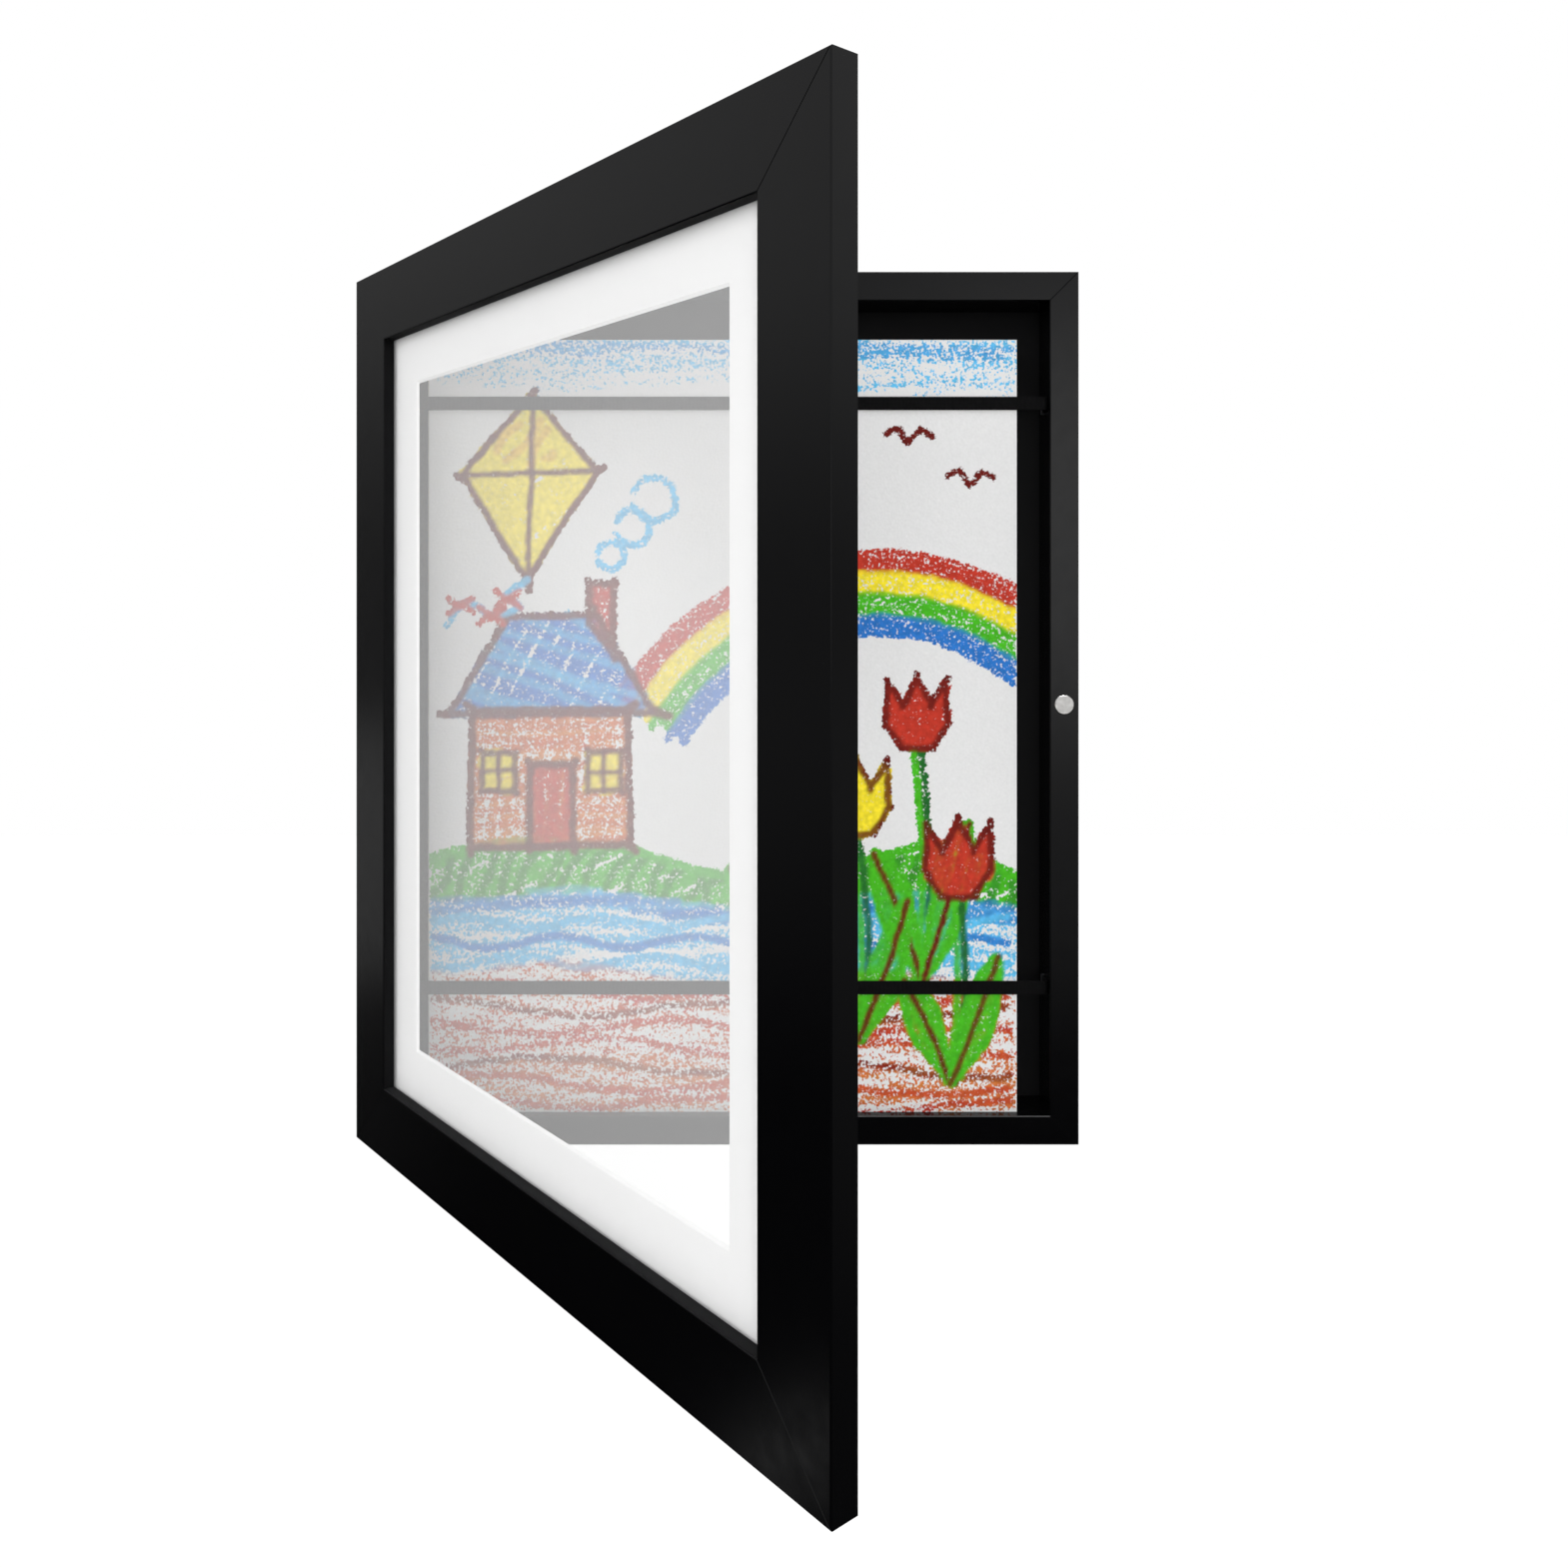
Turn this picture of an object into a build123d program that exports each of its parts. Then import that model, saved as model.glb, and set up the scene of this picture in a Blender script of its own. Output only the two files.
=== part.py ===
"""Wall frame for children's drawings, with a glazed door that opens on its left edge.

All sizes are in millimetres. The back of the frame lies on the wall at y = 0, the front looks along -Y, +Z is up
and +X is to the right as seen from the front. The origin is the notch of the upright hanger, where a wall nail
carries the frame. The door is drawn standing open by door_angle_at_rest.
"""

import os
from dataclasses import dataclass
from math import cos, radians, sin

from build123d import *

# Box that hangs on the wall
box_width = 290.0
box_height = 362.0
box_depth = 28.0
box_wall = 12.0
panel_rebate_width = 5.5
panel_thickness = 3.0
panel_inset = 3.0
panel_clearance = 0.3

# Door
door_latch_reveal = 0.5
door_head_reveal = 6.0
door_thickness = 8.7
door_face_width = 28.0
door_lip_thickness = 4.2
glazing_rebate_width = 6.3
glazing_thickness = 1.2
glazing_clearance = 0.3
mat_thickness = 0.9
mat_border = 18.2
door_gap = 1.0
door_angle_at_rest = 50.0

# Edges of the mouldings
arris_radius = 0.5
mitre_groove = 0.15
overrun = 1.0

# Corner nails, driven from the back across each mitre
corner_nail_thickness = 0.6
box_nail_inset = 1.6
box_nail_leg = 4.5
box_nail_height = 9.0
door_nail_inset = 9.0
door_nail_leg = 8.0
door_nail_height = 5.0

# Flexible points that hold the panel, and the mat with the glazing
point_thickness = 0.4
point_width = 8.0
point_tip_width = 4.0
point_in_wood = 4.5
point_over_sheet = 6.0
points_per_rail = 2
points_per_stile = 4

# Hinges
hinge_inset = 70.0
hinge_height = 28.0
hinge_axis_outset = 0.5
leaf_reach = 10.0
leaf_thickness = 0.8
leaf_offset = 0.25
leaf_seat_clearance = 0.1
knuckle_radius = 2.0
knuckle_end_share = 0.29
knuckle_end_clearance = 0.3
knuckle_seam = 0.15
pin_radius = 1.0
pin_running_clearance = 0.05
pin_end_proud = 0.2
barrel_clearance = 0.35

# Countersunk wood screws
screw_from_axis = 6.4
screw_spacing = 16.0
screw_head_radius = 2.1
screw_shank_radius = 1.1
screw_length = 6.0
screw_tip_length = 1.8
screw_recess_length = 2.4
screw_recess_width = 0.5
screw_recess_depth = 0.6
screw_hole_clearance = 0.03

# Magnet catch
magnet_radius = 4.0
magnet_thickness = 3.0
magnet_proud = 0.35
magnet_clearance = 0.05
magnet_edge_chamfer = 0.25
strike_radius = 4.5
strike_thickness = 0.8
strike_proud = 0.35
strike_edge_margin = 1.0
magnet_above_centre = 1.4

# Drawings
drawing_hinge_clearance = 7.5
drawing_latch_clearance = 12.9
drawing_head_clearance = 15.4
drawing_behind_rim = 4.5
sheet_thickness = 0.3
stack_bundles = 8
stack_stagger = 0.7

# Elastic bands and their staples
band_width = 5.5
band_thickness = 0.9
band_bend_radius = 1.2
upper_band_inset = 42.0
lower_band_inset = 52.0
band_tail = 12.0
staple_back_from_bend = 7.0
staple_crown = 7.4
staple_leg = 5.5
staple_wire = 0.6
staple_wire_width = 1.1

# Sawtooth hangers
hook_drop = 20.0
hanger_length = 46.0
hanger_height = 10.0
hanger_foot = 8.0
hanger_ramp = 2.0
hanger_bridge_height = 1.1
hanger_metal = 0.7
tooth_pitch = 3.0
tooth_depth = 1.5
tooth_count = 7
prong_width = 5.0
prong_length = 2.2


@dataclass(frozen=True)
class MitredFrame:
    """Four mitred mouldings: back is a front view plane that lies on their back faces, at the frame's centre."""

    back: Plane
    width: float
    height: float
    face_width: float
    thickness: float
    rebate_width: float
    rebate_depth: float


# Places that follow from the sizes above
box_centre_z = hook_drop - box_height / 2
wall_view = Plane(origin=(0, 0, box_centre_z), x_dir=(1, 0, 0), z_dir=(0, -1, 0))
box_face = wall_view.offset(box_depth)
inner_width = box_width - 2 * box_wall
inner_height = box_height - 2 * box_wall
panel_face = wall_view.offset(panel_inset + panel_thickness)
panel_back = wall_view.offset(panel_inset)
drawing_face = box_face.offset(-drawing_behind_rim)
drawing_width = inner_width - drawing_hinge_clearance - drawing_latch_clearance
drawing_centre = (drawing_hinge_clearance - drawing_latch_clearance) / 2
drawing_height = inner_height - drawing_head_clearance
band_heights = {"upper": inner_height / 2 - upper_band_inset, "lower": lower_band_inset - inner_height / 2}

door_width = box_width - door_latch_reveal
door_height = box_height - 2 * door_head_reveal
swing = radians(door_angle_at_rest)
door_along = Vector(cos(swing), -sin(swing), 0)
door_outward = Vector(-sin(swing), -cos(swing), 0)
hinge_axis = box_face.from_local_coords(Vector(-box_width / 2 - hinge_axis_outset, 0, door_gap / 2))
door_centre = hinge_axis + door_along * (hinge_axis_outset + door_width / 2) + door_outward * (door_gap / 2)
door_back = Plane(origin=door_centre, x_dir=door_along, z_dir=door_outward)
glazing_seat = door_thickness - door_lip_thickness
mat_seat = glazing_seat - glazing_thickness
mat_back = mat_seat - mat_thickness

box_frame = MitredFrame(
    back=wall_view,
    width=box_width,
    height=box_height,
    face_width=box_wall,
    thickness=box_depth,
    rebate_width=panel_rebate_width,
    rebate_depth=panel_inset + panel_thickness,
)
door_frame = MitredFrame(
    back=door_back,
    width=door_width,
    height=door_height,
    face_width=door_face_width,
    thickness=door_thickness,
    rebate_width=glazing_rebate_width,
    rebate_depth=glazing_seat,
)

quarter_turns = {"bottom": 0, "right": 1, "top": 2, "left": 3}


def is_level(side):
    """True for the top and bottom rails, False for the stiles."""
    return side in ("top", "bottom")


def rail_plane(frame, side):
    """Plane on a moulding's back face: origin mid-length on the outer edge, x along it and y inwards."""
    reach = frame.height / 2 if is_level(side) else frame.width / 2
    turned = Location((0, 0, 0), (0, 0, 90 * quarter_turns[side]))
    return Plane(frame.back.location * turned * Location((0, -reach, 0)))


def mitred_rail(frame, side):
    """Add one moulding: a mitred bar with a rear rebate, a groove at each mitre and softened front edges."""
    length = frame.width if is_level(side) else frame.height
    seat = rail_plane(frame, side)
    with BuildSketch(seat) as outline:
        with BuildLine():
            Polyline(
                (-length / 2, 0),
                (length / 2, 0),
                (length / 2 - frame.face_width, frame.face_width),
                (frame.face_width - length / 2, frame.face_width),
                close=True,
            )
        make_face()
    extrude(outline.sketch, amount=frame.thickness)
    along = Axis(seat.origin, seat.x_dir)
    front = faces().sort_by(Axis(seat.origin, seat.z_dir))[-1]
    long_edges = front.edges().filter_by(along)
    mitre_edges = [edge for edge in front.edges() if edge not in long_edges]
    chamfer(mitre_edges, length=mitre_groove)
    front = faces().sort_by(Axis(seat.origin, seat.z_dir))[-1]
    fillet(front.edges().filter_by(along), radius=arris_radius)
    with BuildSketch(seat) as rebate:
        with Locations((0, frame.face_width - (frame.rebate_width - overrun) / 2)):
            Rectangle(length, frame.rebate_width + overrun)
    extrude(rebate.sketch, amount=frame.rebate_depth, mode=Mode.SUBTRACT)


def corner_nails(frame, inset, leg, height, mode=Mode.ADD):
    """Add, or cut the slots of, the four V nails whose corners lie on the mitres."""
    with BuildSketch(frame.back) as plan:
        for right in (-1, 1):
            for up in (-1, 1):
                x = frame.width / 2 - inset
                y = frame.height / 2 - inset
                with BuildLine():
                    Polyline(
                        (right * x, up * y),
                        (right * (x - leg), up * y),
                        (right * (x - leg), up * (y - corner_nail_thickness)),
                        (right * (x - corner_nail_thickness), up * (y - corner_nail_thickness)),
                        (right * (x - corner_nail_thickness), up * (y - leg)),
                        (right * x, up * (y - leg)),
                        close=True,
                    )
                make_face()
    extrude(plan.sketch, amount=height, mode=mode)


def sheet_points(frame, side, sheet_back, mode=Mode.ADD):
    """Add, or cut the slots of, one moulding's flexible points, which lie on the back of the sheet."""
    count = points_per_rail if is_level(side) else points_per_stile
    length = frame.width if is_level(side) else frame.height
    seat = rail_plane(frame, side).offset(sheet_back - point_thickness)
    wood_edge = frame.face_width - frame.rebate_width
    with BuildSketch(seat) as outline:
        with Locations([((index + 1 / 2) * length / count - length / 2, wood_edge) for index in range(count)]):
            Polygon(
                (-point_tip_width / 2, -point_in_wood),
                (point_tip_width / 2, -point_in_wood),
                (point_width / 2, 0),
                (point_width / 2, point_over_sheet),
                (-point_width / 2, point_over_sheet),
                (-point_width / 2, 0),
                align=None,
            )
    extrude(outline.sketch, amount=point_thickness, mode=mode)


def hinge_plan(centre_height, x_dir):
    """Plane across the hinge axis at the foot of a hinge, with x along the leaf and z up."""
    foot = hinge_axis + Vector(0, 0, centre_height - hinge_height / 2)
    return Plane(origin=foot, x_dir=x_dir, z_dir=(0, 0, 1))


def screw_seats(plan, side):
    """Planes on a leaf's open face, one for each screw, with z out of the wood."""
    seats = []
    for step in (-1, 1):
        height = (hinge_height + step * screw_spacing) / 2
        spot = plan.from_local_coords(Vector(screw_from_axis, side * leaf_offset, height))
        seats.append(Plane(origin=spot, x_dir=plan.x_dir, z_dir=plan.y_dir * -side))
    return seats


def drill(seats, radius, depth):
    """Bore a round hole down from each seat."""
    for seat in seats:
        with BuildSketch(seat) as hole:
            Circle(radius)
        extrude(hole.sketch, amount=-depth, mode=Mode.SUBTRACT)


def screw_bodies(seats, slack=0, mode=Mode.ADD):
    """Add, or cut with some slack, a screw at each seat, whose countersunk head is as high as the leaf."""
    for seat in seats:
        with BuildSketch(Plane(origin=seat.origin, x_dir=seat.x_dir, z_dir=-seat.y_dir)) as half_section:
            with BuildLine():
                Polyline(
                    (0, 0),
                    (screw_head_radius + slack, 0),
                    (screw_shank_radius + slack, -leaf_thickness),
                    (screw_shank_radius + slack, screw_tip_length - screw_length),
                    (0, -screw_length - slack),
                    close=True,
                )
            make_face()
        revolve(half_section.sketch, axis=Axis(seat.origin, seat.z_dir), mode=mode)


def pilot_holes(seats):
    """Bore the straight holes that take the shanks of the screws, down through the seat of the leaf."""
    drill(seats, screw_shank_radius + screw_hole_clearance, screw_length + screw_hole_clearance)


def wood_screws(seats):
    """Add a countersunk screw at each seat, with a crossed recess in its head."""
    screw_bodies(seats)
    for seat in seats:
        with BuildSketch(seat) as recess:
            Rectangle(screw_recess_length, screw_recess_width)
            Rectangle(screw_recess_width, screw_recess_length)
        extrude(recess.sketch, amount=-screw_recess_depth, mode=Mode.SUBTRACT)


def barrel_cut(plan):
    """Clear a stile's corner round the hinge barrel and the ends of its pin."""
    end_room = pin_end_proud + knuckle_end_clearance
    with BuildSketch(plan.offset(-end_room)) as notch:
        Circle(knuckle_radius + barrel_clearance)
    extrude(notch.sketch, amount=hinge_height + 2 * end_room, mode=Mode.SUBTRACT)


def leaf_mortise(plan, side):
    """Cut the shallow seat of a leaf into a stile, open towards the hinge axis."""
    depth = leaf_offset + leaf_thickness
    length = leaf_reach + leaf_seat_clearance
    with BuildSketch(plan.offset(-leaf_seat_clearance)) as seat:
        with Locations((length / 2, side * depth / 2)):
            Rectangle(length, depth)
    extrude(seat.sketch, amount=hinge_height + 2 * leaf_seat_clearance, mode=Mode.SUBTRACT)


def knuckle_spans():
    """Foot and height of the two end knuckles and of the middle one, measured up from the hinge's foot."""
    end = hinge_height * knuckle_end_share
    middle_foot = end + knuckle_end_clearance
    ends = [(0, end), (hinge_height - end, end)]
    return ends, [(middle_foot, hinge_height - 2 * middle_foot)]


def hinge_leaf(plan, side, own_spans, other_spans):
    """Add one leaf: a countersunk plate whose edge is rolled into knuckles round the pin."""
    plate_middle = side * (leaf_offset + leaf_thickness / 2)
    root = (pin_radius + knuckle_radius) / 2
    with BuildSketch(plan) as plate:
        with Locations(((root + leaf_reach) / 2, plate_middle)):
            Rectangle(leaf_reach - root, leaf_thickness)
    extrude(plate.sketch, amount=hinge_height)
    for foot, height in own_spans:
        with BuildSketch(plan.offset(foot)) as knuckle:
            Circle(knuckle_radius)
        extrude(knuckle.sketch, amount=height)
    for foot, height in other_spans:
        with BuildSketch(plan.offset(foot - knuckle_end_clearance)) as room:
            Circle(knuckle_radius + knuckle_end_clearance)
        extrude(room.sketch, amount=height + 2 * knuckle_end_clearance, mode=Mode.SUBTRACT)
    with BuildSketch(plan) as bore:
        Circle(pin_radius + pin_running_clearance)
        with Locations((knuckle_radius / 2, side * (leaf_offset - knuckle_seam / 2))):
            Rectangle(knuckle_radius + knuckle_seam, knuckle_seam)
    extrude(bore.sketch, amount=hinge_height, mode=Mode.SUBTRACT)
    screw_bodies(screw_seats(plan, side), slack=screw_hole_clearance, mode=Mode.SUBTRACT)


def hinge_pin(plan):
    """Add a plain pin whose ends stand a little proud of the barrel."""
    with BuildSketch(plan.offset(-pin_end_proud)) as section:
        Circle(pin_radius)
    extrude(section.sketch, amount=hinge_height + 2 * pin_end_proud)


def elastic_band(height):
    """Add a flat band that crosses the drawings and turns back along both side walls."""
    middle = inner_width / 2 - band_thickness / 2
    lane = drawing_face.from_local_coords(Vector(0, height, band_thickness / 2))
    with BuildSketch(Plane(origin=lane, x_dir=(1, 0, 0), z_dir=(0, 0, 1)).offset(-band_width / 2)) as plan:
        with BuildLine():
            FilletPolyline(
                (-middle, band_tail), (-middle, 0), (middle, 0), (middle, band_tail), radius=band_bend_radius
            )
        trace(line_width=band_thickness)
    extrude(plan.sketch, amount=band_width)


def band_staples(side, mode=Mode.ADD):
    """Add, or cut the holes of, the staples that hold the band ends to one side wall."""
    for height in band_heights.values():
        spot = drawing_face.from_local_coords(
            Vector(side * (inner_width / 2 - band_thickness), height, band_thickness / 2 - staple_back_from_bend)
        )
        section = Plane(origin=spot, x_dir=(side, 0, 0), z_dir=(0, -side, 0))
        arm = (staple_crown - staple_wire) / 2
        with BuildSketch(section.offset(-staple_wire_width / 2)) as outline:
            with BuildLine():
                Polyline(
                    (staple_leg, -arm), (-staple_wire / 2, -arm), (-staple_wire / 2, arm), (staple_leg, arm)
                )
            trace(line_width=staple_wire)
        extrude(outline.sketch, amount=staple_wire_width, mode=mode)


def hanger_seats():
    """Planes on the panel's back at each hanger's middle notch, with y up in use and z towards the wall."""
    edge_to_notch = box_width / 2 - hook_drop
    upright = panel_back.from_local_coords(Vector(0, box_height / 2 - hook_drop, 0))
    sideways = panel_back.from_local_coords(Vector(-edge_to_notch, 0, 0))
    return {
        "portrait": Plane(origin=upright, x_dir=(-1, 0, 0), z_dir=(0, 1, 0)),
        "landscape": Plane(origin=sideways, x_dir=(0, 0, -1), z_dir=(0, 1, 0)),
    }


def hanger_prongs(seat, mode=Mode.ADD):
    """Add, or cut the slots of, the pointed prong at each end of a hanger, pressed into the panel."""
    rise = hanger_height / 2 - tooth_depth
    for step in (-1, 1):
        end = seat.from_local_coords(Vector(step * hanger_length / 2, rise, 0))
        with BuildSketch(Plane(origin=end, x_dir=seat.y_dir, z_dir=seat.x_dir)) as outline:
            Polygon((-prong_width / 2, 0), (prong_width / 2, 0), (0, -prong_length), align=None)
        extrude(outline.sketch, amount=-step * hanger_metal, mode=mode)


def sawtooth_hanger(seat):
    """Add a strip with flat feet, a bridge that stands off the panel and teeth along its lower edge."""
    half = hanger_length / 2
    lower_edge = Plane(origin=seat.origin - seat.y_dir * tooth_depth, x_dir=seat.x_dir, z_dir=seat.y_dir)
    with BuildSketch(lower_edge) as profile:
        with BuildLine():
            Polyline(
                (-half, -hanger_metal / 2),
                (hanger_foot - half, -hanger_metal / 2),
                (hanger_foot + hanger_ramp - half, -hanger_metal / 2 - hanger_bridge_height),
                (half - hanger_foot - hanger_ramp, -hanger_metal / 2 - hanger_bridge_height),
                (half - hanger_foot, -hanger_metal / 2),
                (half, -hanger_metal / 2),
            )
        trace(line_width=hanger_metal)
    extrude(profile.sketch, amount=hanger_height)
    with BuildSketch(seat) as teeth:
        with GridLocations(tooth_pitch, tooth_pitch, tooth_count, 1):
            Polygon((0, 0), (-tooth_pitch / 2, -tooth_depth), (tooth_pitch / 2, -tooth_depth), align=None)
    extrude(teeth.sketch, amount=2 * hanger_metal + hanger_bridge_height, mode=Mode.SUBTRACT)
    hanger_prongs(seat)


def keep(piece, name):
    """Label a finished piece and write it out under its own name."""
    piece.label = name
    export_step(piece, os.path.join("parts", name + ".step"))


os.makedirs("parts", exist_ok=True)

hinge_heights = {"upper": box_height / 2 - hinge_inset, "lower": hinge_inset - box_height / 2}
box_plans = {name: hinge_plan(height, (1, 0, 0)) for name, height in hinge_heights.items()}
door_plans = {name: hinge_plan(height, door_along) for name, height in hinge_heights.items()}
leaf_sides = {"box": 1, "door": -1}
box_screw_seats = [seat for plan in box_plans.values() for seat in screw_seats(plan, leaf_sides["box"])]
door_screw_seats = [seat for plan in door_plans.values() for seat in screw_seats(plan, leaf_sides["door"])]
box_nail_sizes = (box_nail_inset, box_nail_leg, box_nail_height)
door_nail_sizes = (door_nail_inset, door_nail_leg, door_nail_height)
magnet_seat = Plane(box_face.location * Location(((box_width - box_wall) / 2, magnet_above_centre, 0)))
strike_from_centre = door_width / 2 - strike_edge_margin - strike_radius
strike_seat = Plane(door_back.location * Location((strike_from_centre, magnet_above_centre, 0), (0, 180, 0)))

# Box mouldings
for side in ("top", "bottom"):
    with BuildPart() as box_rail:
        mitred_rail(box_frame, side)
        corner_nails(box_frame, *box_nail_sizes, mode=Mode.SUBTRACT)
        sheet_points(box_frame, side, panel_inset, mode=Mode.SUBTRACT)
    keep(box_rail.part, f"box_{side}_rail")

with BuildPart() as box_hinge_stile:
    mitred_rail(box_frame, "left")
    corner_nails(box_frame, *box_nail_sizes, mode=Mode.SUBTRACT)
    sheet_points(box_frame, "left", panel_inset, mode=Mode.SUBTRACT)
    band_staples(-1, mode=Mode.SUBTRACT)
    for plan in box_plans.values():
        barrel_cut(plan)
        leaf_mortise(plan, leaf_sides["box"])
    pilot_holes(box_screw_seats)
keep(box_hinge_stile.part, "box_hinge_stile")

with BuildPart() as box_latch_stile:
    mitred_rail(box_frame, "right")
    corner_nails(box_frame, *box_nail_sizes, mode=Mode.SUBTRACT)
    sheet_points(box_frame, "right", panel_inset, mode=Mode.SUBTRACT)
    band_staples(1, mode=Mode.SUBTRACT)
    drill([magnet_seat], magnet_radius + magnet_clearance, magnet_thickness - magnet_proud)
keep(box_latch_stile.part, "box_latch_stile")

with BuildPart() as box_corner_nails:
    corner_nails(box_frame, *box_nail_sizes)
keep(box_corner_nails.part, "box_corner_nails")

# Back panel with its points and hangers
with BuildPart() as back_panel:
    rebate_reach = 2 * (panel_rebate_width - panel_clearance)
    with BuildSketch(panel_back):
        Rectangle(inner_width + rebate_reach, inner_height + rebate_reach)
    extrude(amount=panel_thickness)
    for seat in hanger_seats().values():
        hanger_prongs(seat, mode=Mode.SUBTRACT)
keep(back_panel.part, "back_panel")

with BuildPart() as back_panel_points:
    for side in quarter_turns:
        sheet_points(box_frame, side, panel_inset)
keep(back_panel_points.part, "back_panel_points")

for use, seat in hanger_seats().items():
    with BuildPart() as hanger:
        sawtooth_hanger(seat)
    keep(hanger.part, f"{use}_hanger")

# Magnet in the face of the right stile
with BuildPart() as box_magnet:
    with BuildSketch(magnet_seat.offset(magnet_proud)):
        Circle(magnet_radius)
    extrude(amount=-magnet_thickness)
    chamfer(box_magnet.faces().sort_by(Axis.Y)[0].edges(), length=magnet_edge_chamfer)
keep(box_magnet.part, "box_magnet")

# Drawings: one sheet on show and a stack of bundles between it and the back panel
floor_of_box = -inner_height / 2
with BuildPart() as front_drawing:
    with BuildSketch(drawing_face):
        with Locations((drawing_centre, floor_of_box)):
            Rectangle(drawing_width, drawing_height, align=(Align.CENTER, Align.MIN))
    extrude(amount=-sheet_thickness)
keep(front_drawing.part, "front_drawing")

bundle = (box_depth - panel_inset - panel_thickness - drawing_behind_rim - sheet_thickness) / stack_bundles
with BuildPart() as stored_drawings:
    for index in range(stack_bundles):
        with BuildSketch(panel_face.offset(index * bundle)):
            with Locations((drawing_centre + stack_stagger * (index % 3 - 1), floor_of_box)):
                Rectangle(drawing_width, drawing_height, align=(Align.CENTER, Align.MIN))
        extrude(amount=bundle)
keep(stored_drawings.part, "stored_drawings")

# Elastic bands and staples
for name, height in band_heights.items():
    with BuildPart() as band:
        elastic_band(height)
    keep(band.part, f"{name}_elastic_band")

with BuildPart() as elastic_band_staples:
    band_staples(-1)
    band_staples(1)
keep(elastic_band_staples.part, "elastic_band_staples")

# Hinges
end_spans, middle_span = knuckle_spans()
for name in hinge_heights:
    with BuildPart() as box_leaf:
        hinge_leaf(box_plans[name], leaf_sides["box"], end_spans, middle_span)
    keep(box_leaf.part, f"{name}_hinge_box_leaf")
    with BuildPart() as door_leaf:
        hinge_leaf(door_plans[name], leaf_sides["door"], middle_span, end_spans)
    keep(door_leaf.part, f"{name}_hinge_door_leaf")
    with BuildPart() as pin:
        hinge_pin(box_plans[name])
    keep(pin.part, f"{name}_hinge_pin")

with BuildPart() as hinge_box_screws:
    wood_screws(box_screw_seats)
keep(hinge_box_screws.part, "hinge_box_screws")

with BuildPart() as hinge_door_screws:
    wood_screws(door_screw_seats)
keep(hinge_door_screws.part, "hinge_door_screws")

# Door mouldings
for side in ("top", "bottom"):
    with BuildPart() as door_rail:
        mitred_rail(door_frame, side)
        corner_nails(door_frame, *door_nail_sizes, mode=Mode.SUBTRACT)
        sheet_points(door_frame, side, mat_back, mode=Mode.SUBTRACT)
    keep(door_rail.part, f"door_{side}_rail")

with BuildPart() as door_hinge_stile:
    mitred_rail(door_frame, "left")
    corner_nails(door_frame, *door_nail_sizes, mode=Mode.SUBTRACT)
    sheet_points(door_frame, "left", mat_back, mode=Mode.SUBTRACT)
    for plan in door_plans.values():
        barrel_cut(plan)
        leaf_mortise(plan, leaf_sides["door"])
    pilot_holes(door_screw_seats)
keep(door_hinge_stile.part, "door_hinge_stile")

with BuildPart() as door_latch_stile:
    mitred_rail(door_frame, "right")
    corner_nails(door_frame, *door_nail_sizes, mode=Mode.SUBTRACT)
    sheet_points(door_frame, "right", mat_back, mode=Mode.SUBTRACT)
    drill([strike_seat], strike_radius, strike_thickness - strike_proud)
keep(door_latch_stile.part, "door_latch_stile")

with BuildPart() as door_corner_nails:
    corner_nails(door_frame, *door_nail_sizes)
keep(door_corner_nails.part, "door_corner_nails")

# Glazing, mat and the points that hold them
sheet_width = door_width - 2 * (door_face_width - glazing_rebate_width + glazing_clearance)
sheet_height = door_height - 2 * (door_face_width - glazing_rebate_width + glazing_clearance)
with BuildPart() as glazing_sheet:
    with BuildSketch(door_back.offset(mat_seat)):
        Rectangle(sheet_width, sheet_height)
    extrude(amount=glazing_thickness)
keep(glazing_sheet.part, "glazing_sheet")

with BuildPart() as mat_board:
    window_reach = 2 * (door_face_width + mat_border)
    with BuildSketch(door_back.offset(mat_back)):
        Rectangle(sheet_width, sheet_height)
    extrude(amount=mat_thickness)
    with BuildSketch(door_back.offset(mat_seat)):
        Rectangle(door_width - window_reach, door_height - window_reach)
    extrude(amount=-mat_thickness, taper=45, mode=Mode.SUBTRACT)
keep(mat_board.part, "mat_board")

with BuildPart() as glazing_points:
    for side in quarter_turns:
        sheet_points(door_frame, side, mat_back)
keep(glazing_points.part, "glazing_points")

# Steel disc that the magnet holds, glued into a shallow bore of the right stile
with BuildPart() as strike_disc:
    with BuildSketch(strike_seat.offset(strike_proud)):
        Circle(strike_radius)
    extrude(amount=-strike_thickness)
keep(strike_disc.part, "strike_disc")
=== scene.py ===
"""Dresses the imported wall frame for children's drawings and sets it in a plain studio.

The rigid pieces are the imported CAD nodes, which get their finishes here. The mat, the elastic bands, the
sheet on show, the wax crayon drawing on it and the stored sheets behind it are modelled here. Lengths are in
metres unless a name ends in _mm. The axes are the CAD's: x to the right, y into the wall, z up, with the
origin at the upright hanger.
"""

import logging
import math
import random
from dataclasses import dataclass, field
from enum import Enum
from typing import Any, Callable

import bpy
from mathutils import Matrix, Vector


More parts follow.
